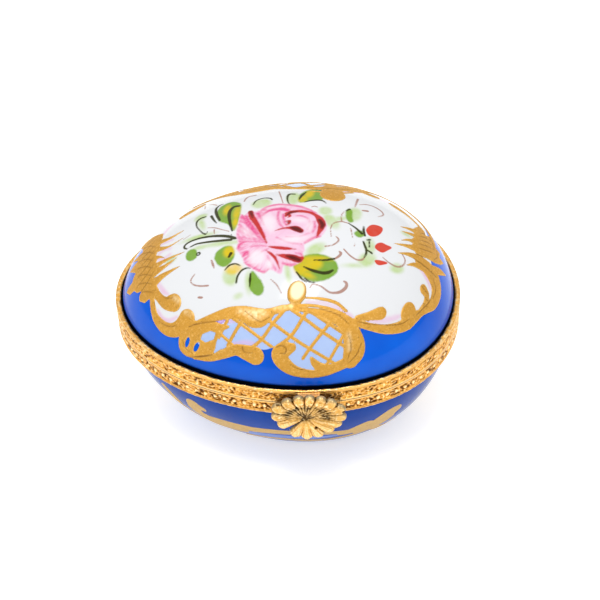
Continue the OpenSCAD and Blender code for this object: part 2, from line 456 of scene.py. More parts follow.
FAN_SPIKES: list[Stroke] = [
    [(-29.4, 2.6, 1.0), (-25.5, 2.1, 0.5), (-22, 2.9, 0.12)],
    [(-29.4, 0.2, 1.0), (-25.5, -0.9, 0.35), (-21.5, 0.2, 0.06)],
    [(-30, -2.4, 0.9), (-28, -3, 0.4), (-26.5, -4, 0.08)],
    [(-30.4, -5.5, 1.4), (-27, -5, 0.6), (-21, -4.5, 0.08)],
    [(-30.4, -7.2, 1.3), (-26.5, -6.6, 0.6), (-23, -5.4, 0.08)],
    [(-30.4, -10, 1.4), (-27, -9, 0.8), (-22.2, -8.1, 0.1)],
    [(36, -3.5, 1.2), (38.5, -2.4, 0.9), (41.3, -1.5, 0.12)],
    [(31, -3.3, 1.2), (27.5, -3.7, 0.6), (24.2, -4.6, 0.08)],
    [(32, -5.2, 1.0), (29, -5.7, 0.6), (26.8, -6.7, 0.08)],
    [(30, 4.8, 0.9), (27, 4.2, 0.4), (24.9, 3.6, 0.08)],
    [(30, 3, 0.8), (27.3, 2.6, 0.4), (25.2, 2.2, 0.08)],
    [(30, 1, 0.9), (27, 0.3, 0.4), (25, -0.8, 0.08)],
    [(30, -1, 1.2), (26.5, -1.7, 0.5), (23, -2.5, 0.08)],
]

ENGRAVED: list[Stroke] = [
    [(-30.6, -14.8, 0.1), (-30.2, -17.4, 0.1), (-29.4, -19.2, 0.05)],
    [(-21.6, -23.2, 0.1), (-19, -22.9, 0.12), (-15, -22.9, 0.1), (-11.5, -23.1, 0.05)],
    [(-23.6, -30.5, 0.1), (-20.4, -30.8, 0.22), (-17.2, -30.7, 0.1)],
    [(18.9, -26.4, 0.1), (18.4, -29, 0.12), (16.8, -31.4, 0.05)],
    [(-0.8, -29.2, 0.1), (0.4, -28.9, 0.12), (1.4, -29.6, 0.12), (1, -30.7, 0.1), (0, -30.6, 0.05)],
    [(17, -22.1, 0.08), (21, -21.8, 0.1), (25.5, -20.8, 0.05)],
    [(32.1, -16.6, 0.1), (33.6, -14.6, 0.1), (35.4, -12, 0.12), (35.7, -9.6, 0.06)],
    [(28.6, -2.7, 0.12), (32.5, -2.3, 0.14), (36.5, -1.8, 0.1)],
    [(-9, -29.2, 0.1), (-8.6, -30.4, 0.1), (-6.6, -30.6, 0.05)],
    [(-28.4, -12.6, 0.05), (-26.8, -14.9, 0.1), (-24.6, -15.6, 0.05)],
    *[
        [(-30.4 + 0.1 * k, -12.4 + 2.3 * k, 0.05), (-32.6, -11.2 + 2.5 * k, 0.1),
         (-35.4 - 0.3 * k, -10.4 + 2.7 * k, 0.05)]
        for k in range(7)
    ],
    *[
        [(30 + 0.2 * k, -0.6 + 1.4 * k, 0.05), (32.6, 0.2 + 1.5 * k, 0.1),
         (35.8 - 0.2 * k, 1.4 + 1.3 * k, 0.05)]
        for k in range(5)
    ],
    [(-7.6, -21.2, 0.06), (-4.6, -23.6, 0.1), (-2.2, -22.6, 0.06)],
    [(4, -20.5, 0.06), (8, -20.45, 0.1), (12, -21.2, 0.1), (15.2, -22.9, 0.06)],
    [(15.2, -24.8, 0.06), (16.6, -27.6, 0.12), (16.4, -30.4, 0.06)],
    [(2.4, -33.2, 0.06), (5, -34.2, 0.1), (9, -34.4, 0.06)],
    [(-24.4, -25.8, 0.06), (-24.6, -28, 0.1), (-23, -29.6, 0.06)],
    [(-30.4, -20, 0.06), (-28, -21.8, 0.1), (-25, -22.4, 0.06)],
    [(30.2, -18.2, 0.06), (28, -20, 0.1), (24, -21.4, 0.06)],
    [(36.4, -11, 0.06), (36.9, -8.4, 0.12), (35.4, -6.2, 0.06)],
]

RESERVE: Outline = [
    (-22, -22.6), (-27, -22.6), (-30.6, -20), (-31.3, -16), (-30.6, -12), (-33, -8), (-34, -3),
    (-33.5, 3), (-35.4, 8), (-38, 12), (-35.6, 17.4), (-30.4, 21), (-24.6, 23), (-20, 20), (-15, 17.4),
    (-8, 15), (-2, 14.4), (4, 13.6), (10, 13.8), (17, 18), (24, 19), (29.4, 16.4), (33, 12), (34, 7),
    (35, 4), (34, 0), (35, -3.6),
    (36.8, -7), (37, -10), (35.2, -13.4), (32.4, -16.6), (29.6, -19.6), (25, -21.8), (18, -22.3),
    (13.6, -21.8), (8, -20.8), (3, -20.6), (-2, -21.4), (-6, -22.6), (-11, -21.6), (-17, -22.6),
]

# Painted highlights on the gilding, where the scroll bands catch the light.
GILT_HIGHLIGHTS: list[Stroke] = [
    [(-9, -21, 0.3), (-5.6, -22, 1.0), (-3.4, -21.8, 0.6)],
    [(-24.2, -15.6, 0.3), (-23.3, -16.6, 0.4)],
    [(-1, -20.8, 0.3), (2, -20.2, 0.4)],
    [(15.4, -25, 0.3), (16.2, -28, 0.4)],
    [(-21.8, -19.6, 0.3), (-20.4, -20.4, 0.4)],
]

CABOCHON = (3.2, -17.4, 1.95, 2.65, -12)
CABOCHON_LIGHT = (3.3, -17.0, 1.35, 1.95, -12)


# The painter's plans for the spray of flowers

PALE_WASHES = [
    (-18.2, 6, 1.5, 1.5, 0), (-17.6, 3.2, 0.7, 2.4, 20), (-18, -1.2, 3.4, 0.7, 0),
    (-12.6, -4.7, 4.2, 0.6, -4),
    (-17.2, -4.5, 1.8, 0.6, 0), (-10.6, -13.4, 1.5, 1.9, 20), (-9, -17.8, 0.9, 0.6, 20),
    (-5, 6.7, 2.0, 1.9, 0),
    (1.4, 8, 1.5, 2.6, 0), (8, 3.3, 1.3, 1.4, 0), (9.3, 0.2, 1.3, 2.3, 30), (13.9, 3.2, 1.6, 2.5, -20),
    (17.6, -5, 1.2, 2.0, 0), (17.2, -8.4, 2.2, 1.5, 40), (24.4, -8.4, 1.8, 1.1, 20),
    (1.2, -13, 0.5, 2.6, 10),
    (-24.6, -5.4, 1.5, 1.0, 10), (11.2, 1.2, 1.6, 0.6, 20), (6.4, -7.6, 2.2, 1.2, 40),
    (-6.6, -15, 0.8, 2.2, 0),
    (15, -10.2, 2.2, 0.4, 10), (26.5, 1.8, 1.2, 0.6, 0),
]

LEAVES: list[Outline] = [
    [(-10.2, -1.6), (-11.4, 0.6), (-13.6, 2.6), (-14.4, 5.2), (-14.2, 8), (-13, 9.5), (-11.6, 9.8),
     (-10.2, 9), (-9.3, 7.6), (-9.1, 5), (-9.2, 2), (-9.6, -0.6)],
    [(-18.4, -4.6), (-19.6, -4.4), (-20.6, -5.2), (-20.5, -6.8), (-19.4, -7.6), (-18.2, -7.2), (-17.8, -6)],
    [(-10.2, -6), (-11.6, -5.6), (-13.4, -6.6), (-13.9, -8.4), (-13, -10.2), (-11.6, -10.8), (-10.4, -10),
     (-9.6, -8.2)],
    [(-6, -12.4), (-6.6, -14.6), (-6.4, -16.6), (-5, -18), (-3.8, -17.6), (-3.6, -16), (-4.6, -14)],
    [(2.8, 6), (2.4, 8), (3, 10.5), (4.6, 12.4), (7, 12.6), (7.3, 10), (7.3, 7.5), (5, 6.8)],
    [(2.2, -11.5), (3.5, -10), (4.8, -9), (7, -8.6), (9, -9), (10.6, -10), (11.3, -11.6), (10.6, -13),
     (9, -14.2), (6.5, -14.9), (4.6, -14.3), (3.1, -13.2)],
    [(12.2, 3.8), (12.9, 4.9), (13.6, 4.2), (13.6, 2.4), (13.8, 0.8), (13, 0.4), (12.3, 1.6)],
    [(14.1, -2.4), (14.8, -1.4), (15.8, -1.6), (16.3, -2.6), (15.4, -3.3), (14.5, -3.2)],
]

YELLOWS = [
    (-9.9, 4.2, 0.75, 2.4, 0), (-9.9, 1.2, 0.6, 1.8, 0), (-10.8, -7.2, 1.2, 1.4, 0),
    (-9.8, -11.6, 1.8, 1.2, 0),
    (3.7, -12.2, 1.3, 1.5, 30), (5.4, -11, 2.6, 1.7, 10), (5, -13.4, 1.6, 0.6, -20),
    (3.4, 7.6, 0.9, 1.5, -10),
    (4.6, 10, 0.9, 2.0, -10), (-12.2, 6.4, 0.8, 2.0, 0), (7, -9.6, 2.4, 0.5, 0),
]

DARK_GREENS: list[Stroke] = [
    [(-9.7, 7, 0.3), (-10.8, 7, 0.35), (-11.5, 5.5, 0.35), (-11.4, 3, 0.3), (-10.8, 0, 0.22),
     (-10.4, -1.6, 0.12)],
    [(-13.4, 2.7, 0.2), (-14.4, 5.4, 0.28), (-14.9, 8, 0.25), (-14.4, 9.4, 0.2), (-13.6, 9.8, 0.12)],
    [(-15.6, 5.3, 0.25), (-14.9, 3.6, 0.2), (-14, 1.9, 0.06)],
    [(-17, 5.7, 0.2), (-18.2, 5.6, 0.25), (-18.9, 4.6, 0.2), (-18.7, 2.8, 0.12), (-17.9, 1.2, 0.1),
     (-17, -0.2, 0.12), (-16.2, -0.9, 0.14), (-15.9, -0.2, 0.08)],
    [(-20.4, -3.9, 0.12), (-21.1, -3.3, 0.2), (-21, -2.5, 0.2), (-19.8, -1.9, 0.2), (-17.8, -1.7, 0.2),
     (-15.5, -1.9, 0.24), (-13, -2.4, 0.3), (-11, -3.1, 0.32), (-9.4, -3.9, 0.22)],
    [(-19.7, -3.6, 0.1), (-18.2, -3.2, 0.16), (-16, -3.4, 0.2), (-13, -3.8, 0.26), (-10.5, -4.1, 0.26)],
    [(-10.6, -2.6, 0.1), (-10.4, -3.6, 0.22), (-9.8, -4, 0.16)],
    [(-17.9, -6.5, 0.1), (-18, -6, 0.12), (-17.5, -5.8, 0.12), (-17.2, -6.2, 0.14), (-17.6, -6.6, 0.12)],
    [(-10.8, -8.5, 0.2), (-10.4, -7.7, 0.3)],
    [(-11.7, -11.6, 0.06), (-10.7, -10.6, 0.14), (-9.5, -10.4, 0.14), (-8.4, -11, 0.06)],
    [(-9.3, -14.8, 0.16), (-9, -13.4, 0.16), (-8.2, -12.2, 0.14), (-7.2, -11.7, 0.14), (-6.3, -11.8, 0.06)],
    [(-6.3, -13, 0.12), (-6.4, -14.6, 0.18), (-6.5, -16, 0.06)],
    [(-6.7, 6.5, 0.08), (-6.2, 8.2, 0.14), (-4.8, 9, 0.14), (-3.4, 8.6, 0.16), (-2.9, 7.8, 0.1)],
    [(1.6, 9.9, 0.2), (0.6, 10, 0.25), (0.2, 9, 0.2), (0.2, 7.5, 0.12), (0.5, 6, 0.08), (1.1, 4.9, 0.06)],
    [(2.6, 7.3, 0.06), (3.1, 9.2, 0.24), (3.9, 10.9, 0.08)],
    [(3.7, 6.2, 0.08), (5.4, 7, 0.22), (7.2, 7.1, 0.2), (8.1, 6.1, 0.08)],
    [(4.6, 12.3, 0.08), (6, 12.6, 0.15), (7.2, 12.2, 0.2)],
    [(4.3, -11.7, 0.1), (6, -12.4, 0.26), (8, -12.8, 0.28), (9.3, -12.6, 0.3), (10.2, -12, 0.16)],
    [(6.2, -10.1, 0.06), (8.5, -9.9, 0.18), (10.3, -9.4, 0.16)],
    [(2.9, -12.9, 0.1), (4, -14.3, 0.16), (5, -15, 0.08)],
    [(4.6, -14.1, 0.06), (5.6, -14.9, 0.16), (6.8, -15, 0.06)],
    [(12.8, 0.1, 0.06), (14.3, -0.9, 0.18), (15.7, -2.2, 0.22)],
    [(16.1, -0.1, 0.14), (16.1, -1.4, 0.24), (16.4, -2.6, 0.16)],
    [(16.9, -3.6, 0.1), (17.6, -3.3, 0.16)], [(16.1, -4.2, 0.16), (16.7, -5.7, 0.22)],
    [(17.4, -3.8, 0.14), (17.5, -5.3, 0.12)], [(17.2, -6.2, 0.08), (18.1, -6.6, 0.22)],
    [(16.8, -5.8, 0.16), (16.9, -7, 0.2), (16.5, -8, 0.1)], [(12.3, 4, 0.1), (13, 4.8, 0.2)],
]

BLOOM: Outline = [
    (-9, 3.4), (-8.2, 2.8), (-7.4, 4), (-5.6, 3.8), (-4.5, 4.8), (-2.5, 5.6), (0, 5.4), (3, 4.6), (5.5, 3),
    (7.6, 1), (8.4, -1.5), (7.5, -4.2), (5.5, -5.3), (4.2, -6.5), (4.3, -8), (3.8, -9), (3.9, -10.4),
    (2, -11.6), (0.4, -11.4), (-0.2, -13.4), (-2.2, -12.4), (-4, -12.9), (-6, -12), (-7.5, -10.5),
    (-8.2, -8.6), (-9.2, -7), (-9, -5.5), (-9.5, -3), (-9.3, -0.5),
]

ROSE_PINKS: list[Stroke] = [
    [(-4.8, 3.8, 0.2), (-3.5, 5, 0.35), (-1.5, 5.5, 0.35), (1, 5.1, 0.3), (3.5, 4.2, 0.25), (6, 2.5, 0.15)],
    [(-4.6, 1.9, 0.15), (-3.2, 3.5, 0.4), (-1.2, 3.9, 0.55), (0.4, 3.3, 0.5)],
    [(-1.3, 3, 0.2), (-1.4, 1, 0.2), (-1, -0.8, 0.2), (-0.3, -1.9, 0.12)],
    [(-0.3, 1.9, 0.25), (-0.1, 0, 0.2), (0.4, -1.4, 0.15)],
    [(7.2, -4.2, 0.12), (5.6, -5, 0.3), (4.3, -6.1, 0.2)],
    [(-8.9, -6.6, 0.3), (-8.5, -5.6, 0.3), (-7, -5.2, 0.12), (-4, -5.7, 0.08)],
    [(-7.9, -8.8, 0.2), (-7.2, -7.9, 0.4), (-6.6, -9, 0.08)],
    [(-8.6, 3, 0.2), (-7.2, -0.5, 0.3), (-5, -4, 0.25), (-3.4, -6, 0.12)],
    [(-7.9, 2.6, 0.3), (-6.6, -0.6, 0.35), (-4.6, -4, 0.2)],
    [(-9, 0, 0.2), (-8, -1.6, 0.15), (-6.4, -3.4, 0.08)],
    [(-9, -0.9, 0.15), (-7.6, -3, 0.12), (-5.4, -4.8, 0.06)],
    [(-6, 1.6, 0.2), (-5, -1, 0.25), (-3.6, -4.4, 0.12)],
    [(-5.4, 3, 0.3), (-4.6, 0.8, 0.18), (-4, -1, 0.06)],
    [(-5.8, -9.6, 0.1), (-4, -8, 0.1), (-2.8, -7.4, 0.06)],
    [(-7.6, -10.4, 0.06), (-5.2, -12, 0.14), (-3.6, -12.9, 0.16), (-2.6, -12.2, 0.06)],
    [(0.2, -11, 0.2), (1.6, -11.4, 0.3), (2.6, -11.2, 0.15)],
    [(-3, -9.2, 0.08), (-2.2, -10.8, 0.18), (-1.2, -12.4, 0.08)],
    [(5.9, -0.4, 0.2), (6, -2, 0.25), (5.6, -3.4, 0.12)],
    [(4.6, 0.6, 0.08), (5, -1, 0.12), (4.6, -2.6, 0.06)],
    [(0.6, -4.6, 0.06), (3, -4.6, 0.1), (5, -3.6, 0.06)],
    [(-1.4, -4.6, 0.06), (1, -6, 0.12), (3.6, -6.4, 0.08)],
    [(2.2, 1.4, 0.08), (3.6, 1.2, 0.16), (4.8, 0.2, 0.08)],
    [(2.6, -8.6, 0.08), (3.6, -8.8, 0.2), (4, -9.6, 0.1)],
    [(-8.8, -3.6, 0.05), (-7, -4.4, 0.1), (-4.6, -5.2, 0.05)],
    [(-6.4, -6.6, 0.05), (-4.6, -6.5, 0.1), (-3.2, -6.8, 0.06)],
]

PETAL_LIGHTS = [
    (-3, -0.4, 1.3, 2.6, 15), (2.2, -5.2, 2.6, 0.9, 8), (-5, -9.4, 1.7, 1.8, 0), (3, 0, 1.5, 0.6, -10),
    (-7.6, -2.4, 0.5, 1.4, 40), (4.9, -1.6, 0.5, 1.2, 0), (-2.6, -11, 0.8, 1.0, 0),
    (-2.4, 4.7, 1.2, 0.25, 10),
]

ROSE_HEART = (-3.2, -6.0)

REDS: list[Stroke] = [
    [(-7, 3.8, 0.55), (-6.6, 2, 0.6), (-5.7, 0, 0.5), (-4.8, -2, 0.42), (-4, -4, 0.32), (-3.2, -6, 0.15)],
    [(0.2, 1.4, 0.35), (0.8, 2.4, 0.5), (2, 2.8, 0.45), (3.5, 2.8, 0.45), (5, 2.4, 0.4), (6.2, 1.5, 0.45),
     (7, 0.3, 0.8), (7.4, -1, 0.8), (7.2, -2.3, 0.6), (6.8, -3.6, 0.35), (6.5, -4.6, 0.1)],
    [(0.4, 2.2, 0.5), (1, 1.3, 0.3), (0.6, 0.9, 0.1)],
    [(0.2, -0.3, 0.12), (1, -0.2, 0.3), (0.8, -1.1, 0.25), (0.3, -1.2, 0.06)],
    [(-1.8, -2.9, 0.06), (-0.5, -2.4, 0.22), (1, -2.2, 0.35), (2.3, -2.4, 0.75), (3.3, -3, 0.6)],
    [(-2.8, -6.9, 0.15), (-1.5, -7.2, 0.35), (0.5, -7.5, 0.38), (2.6, -7.7, 0.08)],
    [(-1.2, -8.9, 0.12), (0.3, -9.3, 0.5), (2, -9.7, 0.75), (3.2, -10.1, 0.75), (3.9, -9.8, 0.4)],
    [(-3.3, -7.8, 0.1), (-2.2, -8.8, 0.3), (-1.4, -9.8, 0.3), (-0.9, -11, 0.2), (-0.4, -12.4, 0.05)],
]

DARK_REDS: list[Stroke] = [
    [(1.4, -2.1, 0.25), (2.4, -2.5, 0.6), (3.3, -3.1, 0.45)],
    [(6.9, 0.2, 0.35), (7.5, -1, 0.5), (7.4, -2, 0.3)],
    [(0.8, -9.3, 0.2), (2, -9.7, 0.5), (3.3, -10.2, 0.45)],
    [(0.5, 1.8, 0.2), (1.2, 2.5, 0.3), (2.4, 2.7, 0.15)],
    [(-7, 3.9, 0.3), (-6.7, 2.8, 0.3), (-6.4, 1.6, 0.1)],
    [(0.6, -0.6, 0.1), (1, -0.7, 0.15)],
]

BERRIES: list[Outline] = [
    [(16.7, -1.2), (17, -0.1), (18, 1), (19.2, 1.2), (20.3, 0.9), (20, -0.6), (18.9, -1.9), (17.5, -2.3)],
    [(18.8, -5), (19.2, -4), (20.2, -3.4), (21.3, -3.6), (22.6, -3.8), (21.6, -4.9), (20.6, -5.7),
     (19.6, -5.6)],
    [(19, -8.2), (20, -7.9), (21.9, -7.9), (20.6, -8.7), (19.6, -8.9)],
]

TENDRILS: list[Stroke] = [
    [(9.4, -4.2, 0.05), (9.2, -2, 0.08), (9.8, -0.4, 0.1), (11.3, 0.3, 0.1), (12.8, 0.1, 0.1)],
    [(11.9, 3.8, 0.06), (11.3, 2.2, 0.1), (11.4, 0.3, 0.1)], [(13.3, -1.3, 0.12), (13.8, -3.8, 0.05)],
    [(14.2, -5.7, 0.1), (14.4, -5, 0.05)],
    [(8.3, -6.7, 0.12), (9.6, -6.3, 0.1), (10.7, -5.4, 0.14), (10.9, -4.6, 0.14), (10.4, -4, 0.08)],
    [(12.1, -6.9, 0.1), (13.5, -8.2, 0.12), (15, -8.9, 0.14), (16.2, -8.6, 0.18), (16.7, -7.9, 0.1)],
    [(10.3, -9.5, 0.12), (11.2, -8.7, 0.22), (11.6, -7.9, 0.2), (11.2, -7.6, 0.12)],
    [(5.8, -16.2, 0.08), (6.4, -15.4, 0.12), (8, -15.7, 0.12), (10, -16.8, 0.16), (12, -16.5, 0.26),
     (13.2, -15.4, 0.3), (13.3, -14.4, 0.22), (12.7, -14.1, 0.14)],
    [(14.2, 6, 0.1), (14.6, 8, 0.18), (15, 9.8, 0.22)],
    [(15.2, 7.3, 0.06), (17, 8.1, 0.12), (19, 7.8, 0.16), (20.5, 6.6, 0.18), (20.6, 5.4, 0.14),
     (19.4, 4.3, 0.06)],
    [(15.9, 5.2, 0.2), (17, 5.4, 0.26)], [(-8.8, 8.7, 0.1), (-8.6, 10, 0.16), (-8, 11, 0.2),
     (-6.6, 11.2, 0.2)],
    [(-17.9, 10, 0.08), (-18.2, 12, 0.12)], [(-17.4, 12.2, 0.06), (-16.2, 11.4, 0.14), (-15, 10, 0.1)],
    [(-14.6, -8.6, 0.12), (-14.3, -9.6, 0.22), (-14, -10.6, 0.12)],
    [(-18.5, -11.2, 0.08), (-19.5, -12.4, 0.12), (-19.2, -13.5, 0.12), (-17.5, -14.3, 0.14),
     (-15.5, -14.6, 0.16)],
    [(-18, -16.9, 0.2), (-17.2, -17.1, 0.22)], [(-2.2, -14.5, 0.06), (-1, -15.7, 0.1), (0.1, -17.6, 0.05)],
    [(-1.8, 12, 0.1), (-1.2, 9, 0.08), (-0.6, 6, 0.06)], [(5.2, 4.4, 0.06), (5.8, 4.7, 0.1),
     (6.4, 4.4, 0.06)],
    [(20.6, -6.9, 0.05), (22.5, -7.8, 0.12), (24.5, -8, 0.16), (26, -7, 0.16), (26.3, -5.6, 0.14),
     (25.2, -4.2, 0.06)],
    [(-16, 1.1, 0.05), (-14.3, 0.5, 0.08), (-12.8, -0.5, 0.08), (-11, -1.6, 0.06)],
    [(-14.4, -0.1, 0.12), (-14.2, -1.4, 0.06)], [(-19.8, 0.4, 0.05), (-21.6, -0.4, 0.05)],
]

LILAC: list[Stroke] = [
    [(-30, -17.2, 0.4), (-29, -19.6, 0.6), (-27, -20.6, 0.5), (-24.6, -20.2, 0.3)],
    [(-28.4, -10.8, 0.5), (-27.2, -13, 0.7), (-26, -14.2, 0.3)],
    [(-14.6, -23.3, 0.4), (-12, -23.1, 0.5), (-10.4, -23.4, 0.3)], [(-11, -28.4, 0.3),
     (-8, -28.2, 0.5), (-5.4, -28.8, 0.4)],
    [(19.4, -21.4, 0.4), (23, -20.6, 0.6), (26, -19.2, 0.6), (27.2, -18.4, 0.3)],
    [(5.4, -19.2, 0.2), (9, -19.2, 0.3), (12.6, -20, 0.4), (15.4, -21.2, 0.4)],
    [(31, -6, 0.4), (33.4, -7.4, 0.5), (35, -9, 0.4)], [(-28, -0.8, 0.4), (-25, -1.8, 0.4)],
    [(-28.4, -3.6, 0.4), (-26, -4.2, 0.3)], [(-28, 1.2, 0.3), (-24.6, 1, 0.3)],
]


# The gilder's plans for the base: along the rim from the front, and down from the parting plane

BASE_SCROLLS: list[Stroke] = [
    [(-20.4, -9.6, 1.9), (-20.8, -11.8, 1.9), (-20, -14, 2.0), (-17.5, -15, 2.1), (-14.5, -14.6, 2.1),
     (-11, -14.2, 1.8), (-7, -13.8, 1.45), (-3, -13.2, 1.25), (2, -12.9, 1.15), (7, -12.9, 1.0),
     (11, -13.3, 0.9),
     (14, -13.6, 1.0)],
    [(-22, -19.4, 1.6), (-19, -17.6, 2.1), (-15, -16.6, 2.0), (-11.6, -16.4, 1.5), (-9.2, -16.5, 0.7)],
    [(-19.4, -9.6, 1.2), (-18.2, -10.2, 1.0)],
    [(13, -14.4, 1.0), (15.4, -13.8, 1.6), (17.6, -12.7, 1.9), (18.8, -12, 1.7)],
    [(17, -15, 1.0), (20, -13.8, 1.8), (22, -11.8, 2.1), (24.2, -10.2, 2.0), (26, -9.4, 1.3)],
    [(20, -14.6, 1.6), (23, -13, 1.8), (25, -11.8, 1.2)],
    [(20.6, -14.4, 1.2), (24, -17.4, 1.2), (28, -19, 1.0), (31, -18.6, 0.8)],
    [(-28.6, -8, 0.7), (-27.6, -10, 1.1), (-27, -12.2, 1.3), (-27.2, -14.6, 1.4), (-26, -17.6, 1.4),
     (-23, -19.8, 1.3)],
    [(-10, -20, 0.5), (-4, -18.4, 0.5), (1, -18.2, 0.7), (6, -18.6, 0.8), (11, -18.4, 0.7),
     (16, -17.2, 0.7),
     (20, -15.4, 0.8)],
    [(34, -22, 0.6), (37, -18.4, 0.9), (40, -16.2, 1.1), (43.4, -15.8, 1.5)],
    [(-33, -21.6, 0.6), (-36, -18, 0.9), (-39.4, -16, 1.1), (-43, -15.8, 1.5)],
    [(48, -22, 1.0), (49.4, -17, 1.3), (50.4, -12.6, 1.2), (51.4, -9.4, 0.3)],
    [(53.4, -22.4, 1.4), (53.4, -15, 1.7), (53.4, -9.4, 1.2), (53.4, -7.2, 0.2)],
    [(58.8, -22, 1.0), (57.4, -17, 1.3), (56.4, -12.6, 1.2), (55.4, -9.4, 0.3)],
    [(44, -19.6, 0.7), (48, -22.6, 1.0), (53.4, -23.4, 1.3), (58.8, -22.6, 1.0), (62.6, -19.6, 0.7)],
]
BASE_PANEL: Outline = [
    (-12, -16.4), (-6, -15.4), (0, -14.9), (8, -14.9), (14, -15), (8, -16.8), (0, -17.2), (-5, -18.2),
    (-10, -18.6),
]
BASE_REPEAT = 106.8
FOOT_LINE = (2.4, 0.45)


# Meshes


@dataclass
class Mesher:
    """Collects points in millimetres and faces, and makes one mesh object of them."""

    rows: list[Array] = field(default_factory=list)
    faces: list[list[int]] = field(default_factory=list)
    marks: list[int] = field(default_factory=list)
    count: int = 0

    def ring(self, points: Array) -> Array:
        """Adds points and returns their numbers.

        Args:
            points: Points in order.

        Returns:
            Their numbers.
        """
        points = np.atleast_2d(points)
        self.rows.append(points)
        self.count += len(points)
        return np.arange(self.count - len(points), self.count)

    def add(self, faces: Array, mark: int) -> None:
        """Adds faces that all take one material."""
        self.faces.extend(faces.tolist())
        self.marks.extend([mark] * len(faces))

    def band(self, low: Array, high: Array, mark: int = 0) -> None:
        """Joins two closed rings of the same length with four-sided faces."""
        ahead = np.roll(np.arange(len(low)), -1)
        self.add(np.stack([low, low[ahead], high[ahead], high], axis=-1), mark)

    def cap(self, centre: Array, ring: Array, mark: int = 0) -> None:
        """Closes a ring to one point."""
        self.add(np.stack([np.full(len(ring), centre[0]), ring, np.roll(ring, -1)], axis=-1), mark)

    def bridge(self, fine: Array, coarse: Array, mark: int = 0) -> None:
        """Joins a fine closed ring to a coarse one with a whole number of fine steps to each.

        Args:
            fine: The fine ring.
            coarse: The coarse ring.
            mark: The faces' mark.
        """
        ratio = len(fine) // len(coarse)
        for i, (start, end) in enumerate(zip(coarse, np.roll(coarse, -1))):
            steps = [int(fine[(i * ratio + k) % len(fine)]) for k in range(ratio + 1)]
            self.faces.extend([[int(start), b, a] for a, b in zip(steps[:-1], steps[1:])])
            self.faces.append([int(start), int(end), steps[-1]])
            self.marks.extend([mark] * (ratio + 1))

    def build(self, name: str, level: float, sharp: float = 40.0) -> bpy.types.Object:
        """Makes the object.

        Args:
            name: the piece's name.
            level: the height in millimetres that the points' zero stands at.
            sharp: the angle in degrees above which an edge is shaded as a corner.

        Returns:
            The object, linked to the scene.
        """
        points = np.vstack(self.rows) + np.array([0, 0, level])
        mesh = bpy.data.meshes.new(name)
        mesh.from_pydata((points * MM).tolist(), [], self.faces)
        mesh.polygons.foreach_set("material_index", self.marks)
        mesh.shade_smooth()
        mesh.set_sharp_from_angle(angle=math.radians(sharp))
        mesh.validate()
        piece = bpy.data.objects.new(name, mesh)
        bpy.context.scene.collection.objects.link(piece)
        return piece


def paint(piece: bpy.types.Object, name: str, channels: Sequence[Array]) -> None:
    """Stores up to four numbers a point in one colour attribute.

    Args:
        piece: The piece.
        name: The attribute's name.
        channels: Up to four numbers a point.
    """
    count = len(piece.data.vertices)
    values = np.zeros((count, 4), np.float32)
    for i, channel in enumerate(channels):
        values[: len(channel), i] = channel
        values[len(channel) :, i] = channel[-1] if len(channel) else 0
    attribute = piece.data.attributes.new(name, "FLOAT_COLOR", "POINT")
    attribute.data.foreach_set("color", values.ravel())


@dataclass
class Sheet:
    """A thin closed pad cut out of a grid along a distance of zero."""

    low: tuple[float, float]
    high: tuple[float, float]
    step: float

    def cut(self, distance: Callable[[Array], Array]) -> tuple[Array, Array, Array, Array]:
        """Cuts the grid.

        Args:
            distance: gives the signed distance at places, below zero inside.

        Returns:
            The places, their depth inside the outline, which of them lie on it, and the triangles.
        """
        xs = np.arange(self.low[0], self.high[0] + self.step / 2, self.step)
        ys = np.arange(self.low[1], self.high[1] + self.step / 2, self.step)
        wide, tall = np.meshgrid(xs, ys)
        places = np.column_stack([wide.ravel(), tall.ravel()])
        found = distance(places)
        slope_y, slope_x = np.gradient(found.reshape(wide.shape), self.step)
        slope = np.column_stack([slope_x.ravel(), slope_y.ravel()])
        number = np.arange(wide.size).reshape(wide.shape)
        a, b, c, d = number[:-1, :-1], number[:-1, 1:], number[1:, 1:], number[1:, :-1]
        faces = np.vstack([np.stack([a, b, c], -1).reshape(-1, 3), np.stack([a, c, d], -1).reshape(-1, 3)])
        inside = found < 0
        faces = faces[inside[faces].any(axis=1)]
        used, faces = np.unique(faces, return_inverse=True)
        faces = faces.reshape(-1, 3)
        outside = ~inside[used]
        pull = slope[used] / np.maximum((slope[used] ** 2).sum(axis=1, keepdims=True), 0.25)
        moved = np.clip(found[used][:, None] * pull, -1.4 * self.step, 1.4 * self.step)
        spots = places[used] - np.where(outside[:, None], moved, 0)
        return spots, np.where(outside, 0, -found[used]), outside, faces

    def pad(
        self,
        distance: Callable[[Array], Array],
        place: Callable[[Array, Array], Array],
        rise: Callable[[Array, Array], Array],
        sink: float,
    ) -> tuple[Mesher, Array, Array]:
        """Builds a closed pad: a raised top and a bottom that share their edge.

        Args:
            distance: the signed distance at places.
            place: turns places and heights into points.
            rise: the top's height from places and depths.
            sink: how far the bottom lies below the surface.

        Returns:
            The mesher, the places of its points and their depths.
        """
        spots, depth, edge, faces = self.cut(distance)
        mesher = Mesher()
        height = np.where(edge, -sink * 0.4, rise(spots, depth))
        top = mesher.ring(place(spots, height))
        under = top.copy()
        under[~edge] = mesher.ring(place(spots[~edge], np.full((~edge).sum(), -sink)))
        mesher.add(top[faces], 0)
        mesher.add(under[faces][:, ::-1], 0)
        return mesher, np.vstack([spots, spots[~edge]]), np.concatenate([depth, np.zeros((~edge).sum())])


def rounded(depth: Array, width: float, height: float) -> Array:
    """A height that climbs from an edge in a quarter round."""
    share = np.clip(depth / width, 0, 1)
    return height * np.sqrt(np.maximum(1 - (1 - share) ** 2, 0))


